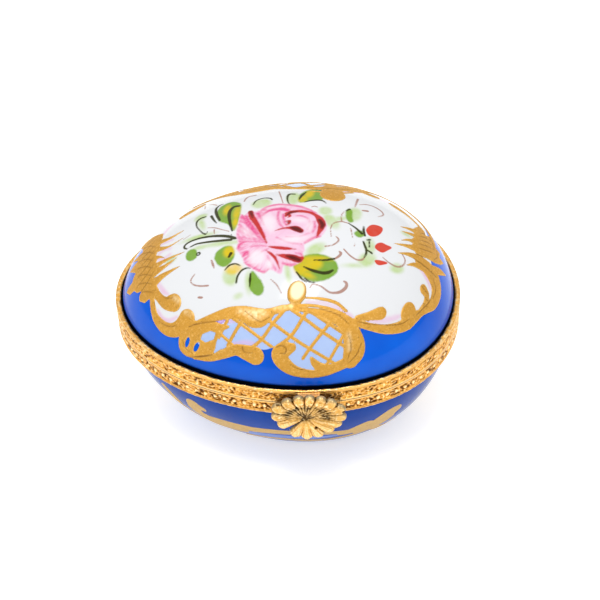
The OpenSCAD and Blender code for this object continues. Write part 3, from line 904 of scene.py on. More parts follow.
def grain(places: Array, scale: float, seed: int) -> Array:
    """Smooth random bumps between -1 and 1 over a flat map, the same at every run.

    Args:
        places: Places in the map.
        scale: Size of a bump.
        seed: Chooses the bumps.

    Returns:
        A height for each place.
    """
    table = np.random.default_rng(seed).uniform(-1, 1, (64, 64))
    spot = np.asarray(places) / scale
    cell = np.floor(spot).astype(int)
    share = spot - cell
    share = share * share * (3 - 2 * share)
    x, y = cell[:, 0] % 64, cell[:, 1] % 64
    right, up = (x + 1) % 64, (y + 1) % 64
    low = table[x, y] * (1 - share[:, 0]) + table[right, y] * share[:, 0]
    high = table[x, up] * (1 - share[:, 0]) + table[right, up] * share[:, 0]
    return low * (1 - share[:, 1]) + high * share[:, 1]


# Finishes

Socket = bpy.types.NodeSocket


class Graph:
    """Short ways to add nodes to one tree."""

    def __init__(self, tree: bpy.types.NodeTree) -> None:
        """Keeps the tree."""
        self.tree = tree

    def feed(self, socket: Socket, value: object) -> None:
        """Links a socket to a value's node, or sets it to a constant.

        Args:
            socket: The input.
            value: A socket or a constant.
        """
        if isinstance(value, bpy.types.NodeSocket):
            self.tree.links.new(value, socket)
        else:
            socket.default_value = value

    def add(
        self, kind: str, inputs: dict[str | int, object] | None = None, **settings: object
    ) -> bpy.types.Node:
        """Adds a node, sets its properties and feeds its inputs.

        Args:
            kind: The node's type.
            inputs: What its inputs get.
            settings: Its properties.

        Returns:
            The node.
        """
        node = self.tree.nodes.new(kind)
        for name, value in settings.items():
            setattr(node, name, value)
        for name, value in (inputs or {}).items():
            self.feed(node.inputs[name], value)
        return node

    def math(self, operation: str, first: object, second: object = 0.0, clamp: bool = False) -> Socket:
        """The result of one sum."""
        node = self.add("ShaderNodeMath", {0: first, 1: second}, operation=operation, use_clamp=clamp)
        return node.outputs[0]

    def mix(self, share: object, under: object, over: object, blend: str = "MIX") -> Socket:
        """One colour laid over another.

        Args:
            share: How much lies over.
            under: Lower colour.
            over: Upper colour.
            blend: How they mix.

        Returns:
            The mixed colour.
        """
        node = self.add("ShaderNodeMix", data_type="RGBA", blend_type=blend)
        self.feed(node.inputs[0], share)
        self.feed(node.inputs[6], under)
        self.feed(node.inputs[7], over)
        return node.outputs[2]

    def remap(self, value: object, low: float, high: float, to_low: float, to_high: float) -> Socket:
        """A value moved from one range to another."""
        inputs = {"Value": value, "From Min": low, "From Max": high, "To Min": to_low, "To Max": to_high}
        return self.add("ShaderNodeMapRange", inputs).outputs["Result"]

    def noise(self, scale: object, detail: float = 3.0, roughness: float = 0.5) -> Socket:
        """Noise that is fixed to the piece; scale is in bumps a metre."""
        where = self.add("ShaderNodeTexCoord").outputs["Object"]
        inputs = {"Vector": where, "Scale": scale, "Detail": detail, "Roughness": roughness}
        return self.add("ShaderNodeTexNoise", inputs).outputs["Fac"]

    def layer(self, name: str) -> dict[str, Socket]:
        """The four channels of a painted attribute.

        Args:
            name: The attribute's name.

        Returns:
            Its channels by letter.
        """
        source = self.add("ShaderNodeAttribute", attribute_name=name)
        split = self.add("ShaderNodeSeparateXYZ", {"Vector": source.outputs["Vector"]})
        return {
            "x": split.outputs["X"],
            "y": split.outputs["Y"],
            "z": split.outputs["Z"],
            "w": source.outputs["Alpha"],
        }

    def group(self, tree: bpy.types.NodeTree, inputs: dict[str, object]) -> bpy.types.Node:
        """Places a shared group.

        Args:
            tree: The shared group.
            inputs: Its values here.

        Returns:
            The placed group.
        """
        node = self.add("ShaderNodeGroup", node_tree=tree)
        for name, value in inputs.items():
            self.feed(node.inputs[name], value)
        return node


def new_group(
    name: str, inputs: dict[str, float], outputs: Sequence[str]
) -> tuple[bpy.types.NodeTree, Graph]:
    """An empty shader group with number sockets.

    Args:
        name: the group's name.
        inputs: input names and their usual values.
        outputs: output names.

    Returns:
        The group and a graph that adds to it.
    """
    tree = bpy.data.node_groups.new(name, "ShaderNodeTree")
    for label, value in inputs.items():
        socket = tree.interface.new_socket(name=label, in_out="INPUT", socket_type="NodeSocketFloat")
        socket.default_value = value
    for label in outputs:
        tree.interface.new_socket(name=label, in_out="OUTPUT", socket_type="NodeSocketFloat")
    return tree, Graph(tree)


@dataclass
class Effects:
    """Shader groups that several finishes share."""

    ink: bpy.types.NodeTree = field(init=False)
    glaze: bpy.types.NodeTree = field(init=False)
    metal: bpy.types.NodeTree = field(init=False)

    def __post_init__(self) -> None:
        """Makes each group once."""
        self.ink = self.make_ink()
        self.glaze = self.make_glaze()
        self.metal = self.make_metal()

    def make_ink(self) -> bpy.types.NodeTree:
        """A painted edge: a mask from a distance, with a brush's slight wobble and uneven body.

        Returns:
            The group.
        """
        tree, graph = new_group(
            "ink_edge", {"Distance": 1.0, "Softness": 0.08, "Wobble": 0.1, "Body": 0.1}, ["Mask"]
        )
        given = graph.add("NodeGroupInput")
        wobble = graph.math(
            "MULTIPLY", graph.math("SUBTRACT", graph.noise(1400.0, 2), 0.5), given.outputs["Wobble"]
        )
        moved = graph.math("ADD", given.outputs["Distance"], wobble)
        share = graph.math("DIVIDE", moved, given.outputs["Softness"])
        mask = graph.math("SUBTRACT", 0.5, graph.math("MULTIPLY", share, 0.5), clamp=True)
        body = graph.math("MULTIPLY", graph.noise(700.0, 3), given.outputs["Body"])
        thin = graph.math("SUBTRACT", 1.0, body)
        graph.add("NodeGroupOutput", {"Mask": graph.math("MULTIPLY", mask, thin)})
        return tree

    def make_glaze(self) -> bpy.types.NodeTree:
        """Fired glaze: slow waves, fine ripple and rare pinholes.

        Returns:
            The group.
        """
        tree, graph = new_group(
            "kiln_glaze", {"Ripple": 1.0, "Smooth": 0.06, "Rough": 0.16}, ["Height", "Roughness", "Tone"]
        )
        given = graph.add("NodeGroupInput")
        waves = graph.noise(90.0, 2)
        ripple = graph.noise(650.0, 3)
        where = graph.add("ShaderNodeTexCoord").outputs["Object"]
        cells = graph.add("ShaderNodeTexVoronoi", {"Vector": where, "Scale": 260.0}).outputs["Distance"]
        pin = graph.math("LESS_THAN", cells, 0.035)
        height = graph.math("ADD", graph.math("MULTIPLY", waves, 0.6), graph.math("MULTIPLY", ripple, 0.12))
        height = graph.math("SUBTRACT", height, graph.math("MULTIPLY", pin, 0.25))
        spread = graph.math("SUBTRACT", given.outputs["Rough"], given.outputs["Smooth"])
        rough = graph.math(
            "ADD", given.outputs["Smooth"], graph.math("MULTIPLY", graph.noise(240.0, 4), spread)
        )
        graph.add(
            "NodeGroupOutput",
            {
                "Height": graph.math("MULTIPLY", height, given.outputs["Ripple"]),
                "Roughness": rough,
                "Tone": graph.noise(55.0, 3, 0.6),
            },
        )
        return tree

    def make_metal(self) -> bpy.types.NodeTree:
        """Worn brass: dark in hollows, lighter on edges from wear and painted highlight, with fine pits and
        scratches.

        Returns:
            The group.
        """
        tree, graph = new_group(
            "worn_brass",
            {"Hollow": 0.0, "Wear": 0.5, "Grit": 1.0},
            ["Tarnish", "Bright", "Roughness", "Height"],
        )
        given = graph.add("NodeGroupInput")
        where = graph.add("ShaderNodeTexCoord").outputs["Object"]
        pits = graph.noise(3200.0, 4, 0.65)
        patch = graph.noise(420.0, 4, 0.6)
        long = graph.add("ShaderNodeMapping", {"Vector": where, "Scale": (300.0, 300.0, 5200.0)})
        scratch = graph.add(
            "ShaderNodeTexNoise", {"Vector": long.outputs[0], "Scale": 1.0, "Detail": 2.0}
        ).outputs["Fac"]
        uneven = graph.math("MULTIPLY", graph.math("SUBTRACT", patch, 0.42), 1.4)
        tarnish = graph.math(
            "ADD",
            given.outputs["Hollow"],
            graph.math("MULTIPLY", uneven, given.outputs["Wear"]),
            clamp=True,
        )
        # sharp edges lighten: partly wear, partly painted highlight
        point = graph.add("ShaderNodeNewGeometry").outputs["Pointiness"]
        bright = graph.remap(point, 0.5, 0.56, 0.0, 1.0)
        rough = graph.math("ADD", 0.2, graph.math("MULTIPLY", pits, 0.16))
        rough = graph.math("ADD", rough, graph.math("MULTIPLY", tarnish, 0.2))
        fine = graph.math("ADD", graph.math("MULTIPLY", pits, 0.7), graph.math("MULTIPLY", scratch, 0.3))
        graph.add(
            "NodeGroupOutput",
            {
                "Tarnish": tarnish,
                "Bright": bright,
                "Roughness": rough,
                "Height": graph.math("MULTIPLY", fine, given.outputs["Grit"]),
            },
        )
        return tree


def new_material(name: str) -> tuple[bpy.types.Material, Graph, bpy.types.Node]:
    """A material with an empty tree, its graph and its main shader.

    Args:
        name: Its name.

    Returns:
        The material, its graph and its shader.
    """
    material = bpy.data.materials.new(name)
    material.use_nodes = True
    material.node_tree.nodes.clear()
    graph = Graph(material.node_tree)
    shader = graph.add("ShaderNodeBsdfPrincipled")
    graph.add("ShaderNodeOutputMaterial", {"Surface": shader.outputs[0]})
    return material, graph, shader


def bumped(graph: Graph, shader: bpy.types.Node, height: Socket, depth: float) -> None:
    """Feeds a height in shares of depth, in metres, to a shader's normal."""
    bump = graph.add("ShaderNodeBump", {"Height": height, "Strength": 1.0, "Distance": depth})
    graph.feed(shader.inputs["Normal"], bump.outputs[0])


@dataclass(frozen=True)
class Glaze:
    """Plain or painted glaze."""

    name: str
    ground: Colour
    deep: Colour
    smooth: float = 0.05
    rough: float = 0.14
    ripple: float = 0.00002
    shine: float = 0.14

    def make(
        self, effects: Effects, layers: Sequence[tuple[str, str, Colour, float, float, float]] = ()
    ) -> bpy.types.Material:
        """Makes the material.

        Args:
            effects: the shared groups.
            layers: painted layers from the bottom up, each an attribute, its channel, a colour,
                a softness of 0 for a wash or the width of its edge, a wobble and an unevenness.

        Returns:
            The material.
        """
        material, graph, shader = new_material(self.name)
        glaze = graph.group(effects.glaze, {"Ripple": 1.0, "Smooth": self.smooth, "Rough": self.rough})
        colour = graph.mix(graph.remap(glaze.outputs["Tone"], 0.3, 0.7, 0.0, 1.0), self.ground, self.deep)
        found: dict[str, dict[str, Socket]] = {}
        for attribute, channel, pigment, softness, wobble, body in layers:
            if attribute not in found:
                found[attribute] = graph.layer(attribute)
            value = found[attribute][channel]
            if softness:
                inputs = {"Distance": value, "Softness": softness, "Wobble": wobble, "Body": body}
                value = graph.group(effects.ink, inputs).outputs["Mask"]
            else:
                uneven = graph.remap(graph.noise(480.0, 4, 0.6), 0.3, 0.7, 1.0 - body, 1.0)
                value = graph.math("MULTIPLY", value, uneven, clamp=True)
            colour = graph.mix(value, colour, pigment)
        graph.feed(shader.inputs["Base Color"], colour)
        graph.feed(shader.inputs["Roughness"], glaze.outputs["Roughness"])
        shader.inputs["IOR"].default_value = 1.52
        shader.inputs["Specular IOR Level"].default_value = self.shine
        bumped(graph, shader, glaze.outputs["Height"], self.ripple)
        return material


@dataclass(frozen=True)
class Gilding:
    """Matte gold laid on glaze, burnished in places, with painted highlights, painted edge shade and dark
    engraved lines.
    """

    name: str = "matte_gilding"
    gold: Colour = tint(226, 168, 66, 0.8)
    dark: Colour = tint(150, 98, 28, 0.8)
    pale: Colour = tint(255, 214, 130, 0.95)
    cream: Colour = tint(255, 232, 184, 0.95)
    line: Colour = tint(120, 72, 16)

    def make(self, effects: Effects) -> bpy.types.Material:
        """Makes the material from the gilding's own attribute: edge, painted highlight, line and cream.

        Args:
            effects: The shared groups.

        Returns:
            The material.
        """
        material, graph, shader = new_material(self.name)
        mark = graph.layer("gilt")
        metal = graph.group(effects.metal, {"Hollow": 0.0, "Wear": 0.5, "Grit": 1.0})
        colour = graph.mix(graph.math("MULTIPLY", metal.outputs["Tarnish"], 0.6), self.gold, self.dark)
        speck = graph.remap(graph.noise(1900.0, 3, 0.75), 0.52, 0.72, 0.0, 0.45)
        colour = graph.mix(speck, colour, self.pale)
        pit = graph.remap(graph.noise(2400.0, 3, 0.75), 0.42, 0.28, 0.0, 0.75)
        colour = graph.mix(pit, colour, self.dark)
        # painted highlight: a pale band just inside the gilding's edge
        rim = graph.math("SUBTRACT", 1.0, graph.math("DIVIDE", mark["x"], 0.3), clamp=True)
        colour = graph.mix(graph.math("MULTIPLY", rim, 0.55), colour, self.pale)
        # painted shade: a dark line along the gilding's very edge
        edge = graph.math("SUBTRACT", 1.0, graph.math("DIVIDE", mark["x"], 0.12), clamp=True)
        colour = graph.mix(graph.math("MULTIPLY", edge, 0.8), colour, self.dark)
        # painted highlight: cream over the gold where the second channel is set
        colour = graph.mix(graph.math("MULTIPLY", mark["y"], 0.8), colour, self.cream)
        colour = graph.mix(graph.math("MULTIPLY", mark["z"], 0.75), colour, self.line)
        colour = graph.mix(mark["w"], colour, self.cream)
        graph.feed(shader.inputs["Base Color"], colour)
        burnt = graph.math("SUBTRACT", 0.62, graph.math("MULTIPLY", mark["y"], 0.3))
        grit = graph.math("MULTIPLY", graph.noise(2600.0, 3), 0.15)
        graph.feed(shader.inputs["Roughness"], graph.math("ADD", burnt, graph.math("SUBTRACT", grit, 0.08)))
        graph.feed(
            shader.inputs["Metallic"],
            graph.math("SUBTRACT", 0.7, graph.math("MULTIPLY", mark["w"], 0.6)),
        )
        bumped(graph, shader, metal.outputs["Height"], 0.00007)
        return material


@dataclass(frozen=True)
class Brass:
    """Brass that is stamped, cast or drawn."""

    name: str
    bright: Colour = tint(236, 172, 76, 1.0)
    dull: Colour = tint(162, 100, 26, 1.0)
    pit: Colour = tint(74, 40, 12, 1.0)
    wear: float = 0.5
    grit: float = 0.00004
    relief: bool = True

    def make(self, effects: Effects) -> bpy.types.Material:
        """Makes the material; relief brass reads its hollows and its painted glints from an attribute.

        Args:
            effects: The shared groups.

        Returns:
            The material.
        """
        material, graph, shader = new_material(self.name)
        marks = graph.layer("hollow") if self.relief else {"x": 0.0, "y": 0.0}
        hollow, painted_glint = marks["x"], marks["y"]
        metal = graph.group(effects.metal, {"Hollow": hollow, "Wear": self.wear, "Grit": 1.0})
        colour = graph.mix(metal.outputs["Tarnish"], self.bright, self.dull)
        colour = graph.mix(graph.remap(metal.outputs["Tarnish"], 0.7, 1.0, 0.0, 0.85), colour, self.pit)
        # sharp edges lightened: partly wear, partly painted highlight
        colour = graph.mix(
            graph.math("MULTIPLY", metal.outputs["Bright"], 0.5), colour, tint(255, 236, 184, 1.0)
        )
        # painted glints from the attribute's second channel
        colour = graph.mix(painted_glint, colour, tint(255, 240, 192, 1.0))
        graph.feed(shader.inputs["Base Color"], colour)
        graph.feed(shader.inputs["Roughness"], metal.outputs["Roughness"])
        shader.inputs["Metallic"].default_value = 1.0
        bumped(graph, shader, metal.outputs["Height"], self.grit)
        return material


@dataclass(frozen=True)
class Cement:
    """Dark putty in the rims."""

    name: str = "dark_cement"
    dark: Colour = tint(14, 12, 14)
    light: Colour = tint(44, 38, 36)

    def make(self) -> bpy.types.Material:
        """Makes the material.

        Returns:
            The material.
        """
        material, graph, shader = new_material(self.name)
        lumps = graph.noise(1500.0, 5, 0.7)
        graph.feed(
            shader.inputs["Base Color"],
            graph.mix(graph.remap(lumps, 0.4, 0.8, 0.0, 1.0), self.dark, self.light),
        )
        graph.feed(shader.inputs["Roughness"], graph.remap(lumps, 0.3, 0.7, 0.7, 0.95))
        bumped(graph, shader, lumps, 0.00012)
        return material


@dataclass(frozen=True)
class Bisque:
    """Bare fired porcelain on the foot and under the rims."""

    name: str = "bare_bisque"
    pale: Colour = tint(232, 226, 214)
    grey: Colour = tint(206, 198, 184)

    def make(self) -> bpy.types.Material:
        """Makes the material.

        Returns:
            The material.
        """
        material, graph, shader = new_material(self.name)
        fine = graph.noise(2600.0, 5, 0.7)
        stain_and_shade = graph.noise(160.0, 3)
        colour = graph.mix(graph.remap(stain_and_shade, 0.45, 0.75, 0.0, 1.0), self.pale, self.grey)
        colour = graph.mix(graph.remap(fine, 0.55, 0.75, 0.0, 0.5), colour, self.grey)
        graph.feed(shader.inputs["Base Color"], colour)
        graph.feed(shader.inputs["Roughness"], graph.remap(fine, 0.3, 0.7, 0.7, 0.9))
        bumped(graph, shader, fine, 0.00003)
        return material


@dataclass
class Workshop:
    """Every finish, made once."""

    effects: Effects = field(default_factory=Effects)

    def __post_init__(self) -> None:
        """Makes the finishes."""
        cobalt = Glaze("cobalt_glaze", tint(8, 108, 238), tint(4, 84, 208))
        white = tint(240, 241, 243)
        self.lid_paint = Glaze("painted_lid_glaze", cobalt.ground, cobalt.deep).make(
            self.effects,
            [
                ("ground", "x", white, 0.12, 0.1, 0.0),
                ("ground", "y", tint(190, 212, 252), 0.1, 0.1, 0.15),
                ("ground", "z", tint(238, 184, 222), 0, 0, 0.4),
                ("leaf", "x", tint(184, 214, 112), 0, 0, 0.4),
                ("leaf", "y", tint(124, 170, 36), 0.2, 0.35, 0.1),
                ("leaf", "z", tint(242, 204, 14), 0, 0, 0.35),
                ("fine", "x", tint(176, 124, 104), 0.08, 0.06, 0.3),
                ("leaf", "w", tint(54, 56, 8), 0.1, 0.1, 0.05),
                ("petal", "x", tint(250, 208, 232), 0.16, 0.25, 0.1),
                ("fine", "w", tint(238, 84, 148), 0, 0, 0.3),
                ("petal", "y", tint(236, 78, 142), 0.26, 0.3, 0.15),
                ("fine", "z", tint(253, 240, 247), 0, 0, 0.25),
                ("petal", "z", tint(202, 44, 36), 0.14, 0.2, 0.06),
                ("petal", "w", tint(92, 18, 14), 0, 0, 0.1),
                ("fine", "y", tint(220, 54, 16), 0.1, 0.1, 0.08),
                # painted shadow: the glaze low on the dome, in the gap behind the rim, is painted near black
                ("ground", "w", tint(6, 8, 20), 0.22, 0.15, 0.0),
            ],
        )
        # the base's cobalt is the lid's glaze mixed darker: painted shade
        self.base_paint = Glaze("painted_base_glaze", tint(2, 76, 176), tint(0, 58, 154), shine=0.05).make(
            self.effects, [("ground", "y", tint(120, 150, 224), 0.1, 0.1, 0.3)]
        )
        self.white_glaze = Glaze("white_glaze", white, tint(232, 234, 236), 0.08, 0.2).make(self.effects)
        self.bisque = Bisque().make()
        self.gilding = Gilding().make(self.effects)
        self.low_gilding = Gilding(
            "shaded_gilding", tint(208, 172, 110, 0.85), tint(160, 120, 66, 0.85), tint(232, 204, 150, 0.9)
        ).make(self.effects)
        self.stamped = Brass("stamped_brass", wear=0.8, grit=0.00009).make(self.effects)
        self.cast = Brass(
            "cast_brass", tint(226, 172, 90, 1.0), tint(140, 106, 56, 1.0), tint(60, 38, 16, 1.0), 0.8, 0.0001
        ).make(self.effects)
        self.drawn = Brass("drawn_brass", wear=0.5, grit=0.00003, relief=False).make(self.effects)
        self.cement = Cement().make()


def dress(piece: bpy.types.Object, materials: Sequence[bpy.types.Material]) -> None:
    """Gives a piece its materials, in the order of its faces' marks.

    Args:
        piece: The piece.
        materials: One for each mark.
    """
    if piece.data.materials:
        piece.data.materials.clear()
    for material in materials:
        piece.data.materials.append(material)


def settle(piece: bpy.types.Object, body: Body, nodes: Sequence[str] = ()) -> None:
    """Puts a piece on its body, in place of any nodes it stands for.

    Args:
        piece: The piece.
        body: Its body.
        nodes: Nodes it stands for.
    """
    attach(piece, body.value)
    if nodes:
        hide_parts(*nodes)
    LOG.info("%s: %d faces on %s", piece.name, len(piece.data.polygons), body.value)


# The porcelain


@dataclass
class Shell:
    """One porcelain half: outer glaze, inner glaze, bare edge and, on the base, a flat foot."""

    half: Half
    sectors: int = 600
    rings: int = 138
    inner_sectors: int = 150
    inner_rings: int = 36
    edge: float = 0.8

    def outer(self, mesher: Mesher) -> tuple[Array, Array, Array]:
        """Adds the outside and returns its last ring, and every point's heading and rise.

        Args:
            mesher: Takes the points and faces.

        Returns:
            The last ring, the headings and the rises.
        """
        turn = np.arange(self.sectors) * 2 * np.pi / self.sectors
        last = EGG.rise_at(turn, self.edge, self.half)
        if self.half is Half.LID:
            first = np.zeros_like(turn)
            previous = mesher.ring(EGG.point(turn[:1], first[:1], self.half))
            headings, rises = [turn[:1]], [first[:1]]
        else:
            first = EGG.rise_at(turn, EGG.part_z, self.half)
            headings, rises = self.foot(mesher, turn, first)
            previous = np.arange(mesher.count - self.sectors, mesher.count)
        for i in range(1, self.rings + 1):
            rise = first + (last - first) * i / self.rings
            current = mesher.ring(EGG.point(turn, rise, self.half))
            if len(previous) == 1:
                mesher.cap(previous, current)
            else:
                mesher.band(current, previous)
            previous = current
            headings.append(turn)
            rises.append(rise)
        return previous, np.concatenate(headings), np.concatenate(rises)

    def foot(self, mesher: Mesher, turn: Array, first: Array) -> tuple[list[Array], list[Array]]:
        """Adds the flat foot with its rubbed edge and returns the headings and rises so far.

        Args:
            mesher: Takes the points and faces.
            turn: Angles round the egg.
            first: Ring at the foot's edge.

        Returns:
            Headings and rises, ring by ring.
        """
        rim = EGG.point(turn, first, self.half)
        previous = mesher.ring(np.array([[0, 0, -EGG.part_z]]))
        headings, rises = [turn[:1]], [np.zeros(1)]
        for share in (0.3, 0.6, 0.8, 0.9, 0.97):
            ring = rim * np.array([share, share, 1])
            current = mesher.ring(ring)
            if len(previous) == 1:
                mesher.cap(previous, current, 2)
            else:
                mesher.band(current, previous, 2)
            previous = current
            headings.append(turn)
            rises.append(first * share)
        lifted = EGG.point(turn, first + 0.018, self.half)
        current = mesher.ring(lifted)
        mesher.band(current, previous, 2)
        headings.append(turn)
        rises.append(first + 0.018)
        return headings, rises

    def inner(self, mesher: Mesher) -> Array:
        """Adds the inside and returns its last ring.

        Args:
            mesher: Takes the points and faces.

        Returns:
            The last ring.
        """
        turn = np.arange(self.inner_sectors) * 2 * np.pi / self.inner_sectors
        last = EGG.rise_at(turn, self.edge, self.half, EGG.wall)
        level = EGG.part_z - EGG.floor
        if self.half is Half.LID:
            first = np.zeros_like(turn)
            previous = mesher.ring(EGG.point(turn[:1], first[:1], self.half, EGG.wall))
        else:
            first = EGG.rise_at(turn, level, self.half, EGG.wall)
            previous = mesher.ring(np.array([[0, 0, -level]]))
            rim = EGG.point(turn, first, self.half, EGG.wall)
            for share in (0.35, 0.7, 0.92):
                current = mesher.ring(rim * np.array([share, share, 1]))
                if len(previous) == 1:
                    mesher.cap(previous, current, 1)
                else:
                    mesher.band(current, previous, 1)
                previous = current
        for i in range(0 if self.half is Half.BASE else 1, self.inner_rings + 1):
            rise = first + (last - first) * i / self.inner_rings
            spots = EGG.point(turn, rise, self.half, EGG.wall)
            current = mesher.ring(spots)
            if len(previous) == 1:
                mesher.cap(previous, current, 1)
            else:
                mesher.band(current, previous, 1)
            previous = current
        return previous

    def build(self, name: str) -> tuple[bpy.types.Object, Array, Array]:
        """Builds the closed shell and returns it with its outer points' headings and rises.

        Args:
            name: The piece's name.

        Returns:
            The piece, the headings and the rises.
        """
        mesher = Mesher()
        outer_edge, heading, rise = self.outer(mesher)
        inner_edge = self.inner(mesher)
        mesher.bridge(outer_edge, inner_edge, 2)
        piece = mesher.build(name, EGG.part_z, 30)
        turn_outwards(piece)
        return piece, heading, rise


def turn_outwards(piece: bpy.types.Object) -> None:
    """Makes every face of a closed mesh look outwards.

    Args:
        piece: A closed mesh.
    """
    shape = bmesh.new()
    shape.from_mesh(piece.data)
    bmesh.ops.recalc_face_normals(shape, faces=shape.faces)
    shape.to_mesh(piece.data)
    shape.free()


@dataclass
class Lid:
    """The domed lid's painted porcelain and raised gilding."""

    gilt_step: float = 0.24
    gilt_height: float = 0.14
    gilt_low: tuple[float, float] = (-44.0, -37.6)
    gilt_high: tuple[float, float] = (42.0, 31.0)
    # height over the parting plane below which the lid's glaze is painted dark, as a painted shadow in the
    # gap behind the rim
    stain_and_shade: float = 3.45

    def gilt_distance(self, places: Array) -> Array:
        """How far places are from the lid's gilding.

        Args:
            places: Places in the map.

        Returns:
            A distance for each place.
        """
        canvas = Canvas(places, 1.6)
        back = back_copy(FRONT_SCROLLS, BACK_AXIS)
        found = canvas.strokes([*SIDE_SCROLLS, *FRONT_SCROLLS, *back, *FAN_SPIKES, *BACK_SIDES])
        found = np.minimum(found, canvas.shapes(SIDE_FANS, smooth=False))
        bars = np.maximum(canvas.strokes(LATTICE), canvas.shapes([TRELLIS_FIELD]))
        mirrored = [(x, 2 * BACK_AXIS - y) for x, y in TRELLIS_FIELD]
        back = np.maximum(canvas.strokes(back_copy(LATTICE, BACK_AXIS)), canvas.shapes([mirrored]))
        found = np.minimum(found, np.minimum(bars, back))
        found = np.minimum(found, canvas.shapes([LOBE]))
        found = np.maximum(
            found, -np.minimum(canvas.ovals(LOBE_SLOTS), canvas.shapes(LOBE_WINDOWS, smooth=False))
        )
        return np.minimum(found, canvas.ovals([CABOCHON]))

    def gilt_height_at(self, places: Array, depth: Array) -> Array:
        """The gilding's height: rounded edges, brush grain, sunk engraved lines and a domed oval.

        Args:
            places: Places in the map.
            depth: How far inside the edge each is.

        Returns:
            A height for each place.
        """
        height = rounded(depth, 0.45, self.gilt_height) + 0.012 * grain(places, 0.5, 3)
        lines = Canvas(places, 1.0).strokes([*ENGRAVED, *back_copy(ENGRAVED, BACK_AXIS)])
        height -= 0.07 * wash(lines, 0.12)
        oval = np.maximum(-Canvas(places).ovals([CABOCHON]), 0)
        return height + rounded(oval, 1.9, 0.3)

    def streaks(self, canvas: Canvas) -> Array:
        """Pink brush streaks that run out from the rose's heart, stronger towards its edge.

        Args:
            canvas: The places painted on.

        Returns:
            A strength for each place.
        """
        gap = canvas.places - np.array(ROSE_HEART)
        radius = np.hypot(gap[:, 0], gap[:, 1])
        turn = np.arctan2(gap[:, 1], gap[:, 0])
        comb = np.stack([turn * 3.2 + 0.25 * np.sin(radius), radius * 0.16], axis=-1)
        strength = 0.5 + 0.5 * grain(comb, 0.16, 31)
        left = np.clip((1.5 - gap[:, 0]) / 3, 0.35, 1)
        cover = wash(canvas.shapes([BLOOM]) + 0.1, 0.25)
        edge = 0.35 + 0.65 * np.clip(1 + canvas.shapes([BLOOM]) / 2.2, 0, 1)
        return np.clip(1.5 * strength**1.6 * left * edge * cover, 0, 0.9)

    def porcelain(self, finishes: Workshop) -> bpy.types.Object:
        """Builds and paints the lid's shell.

        Args:
            finishes: The finishes.

        Returns:
            The piece.
        """
        piece, heading, rise = Shell(Half.LID).build("lid_painted_dome")
        canvas = Canvas(EGG.flat_map(heading, rise))
        field_back = [(x, 2 * BACK_AXIS - y) for x, y in TRELLIS_FIELD]
        panels = canvas.shapes([TRELLIS_FIELD, field_back])
        lilac = wash(canvas.strokes([*LILAC, *back_copy(LILAC, BACK_AXIS)]), 0.5) * 0.75
        reach = Canvas(canvas.places, 30.0).shapes([RESERVE])
        outside = np.full(len(piece.data.vertices) - len(heading), FAR)
        # distance above the painted gap shadow's edge; glaze lower than this is painted near black
        level = EGG.point(heading, rise, Half.LID)[:, 2] - self.stain_and_shade
        grounds = [
            np.append(reach, outside),
            np.append(panels, outside),
            np.append(lilac, 0),
            np.append(level, outside),
        ]
        paint(piece, "ground", grounds)
        pale = np.zeros(len(canvas.places))
        for oval in PALE_WASHES:
            pale = np.maximum(pale, wash(canvas.ovals([oval]), 0.55) * 0.8)
        gold = wash(canvas.ovals(YELLOWS), 0.5) * 0.9
        paint(
            piece,
            "leaf",
            [
                np.append(pale, 0),
                np.append(canvas.shapes(LEAVES), outside),
                np.append(gold, 0),
                np.append(canvas.strokes(DARK_GREENS) - 0.07, outside),
            ],
        )
        deep = wash(canvas.strokes(DARK_REDS), 0.3)
        paint(
            piece,
            "petal",
            [
                np.append(canvas.shapes([BLOOM]), outside),
                np.append(canvas.strokes(ROSE_PINKS), outside),
                np.append(canvas.strokes(REDS), outside),
                np.append(deep, 0),
            ],
        )
        lights = wash(canvas.ovals(PETAL_LIGHTS), 0.8)
        paint(
            piece,
            "fine",
            [
                np.append(canvas.strokes(TENDRILS) - 0.06, outside),
                np.append(canvas.shapes(BERRIES) - 0.1, outside),
                np.append(lights, 0),
                np.append(self.streaks(canvas), 0),
            ],
        )
        dress(piece, [finishes.lid_paint, finishes.white_glaze, finishes.bisque])
        settle(piece, Body.LID, ["lid_porcelain"])
        return piece

    def gilding(self, finishes: Workshop) -> bpy.types.Object:
        """Builds the raised gilding over the dome.

        Args:
            finishes: The finishes.

        Returns:
            The piece.
        """
        sheet = Sheet(self.gilt_low, self.gilt_high, self.gilt_step)
        mesher, places, depth = sheet.pad(
            self.gilt_distance,
            lambda spots, lift: EGG.from_map(spots, Half.LID, lift),
            self.gilt_height_at,
            0.1,
        )
        piece = mesher.build("lid_gilding", EGG.part_z, 60)
        canvas = Canvas(places, 1.4)
        # painted highlights on the gilding, mottled
        painted_highlight = wash(canvas.strokes(GILT_HIGHLIGHTS), 0.9) * (0.55 + 0.45 * grain(places, 0.4, 41))
        lines = wash(canvas.strokes([*ENGRAVED, *back_copy(ENGRAVED, BACK_AXIS)]), 0.12)
        cream = wash(Canvas(places).ovals([CABOCHON_LIGHT]), 0.3)
        paint(piece, "gilt", [depth, painted_highlight, lines, cream])
        dress(piece, [finishes.gilding])
        settle(piece, Body.LID)
        return piece


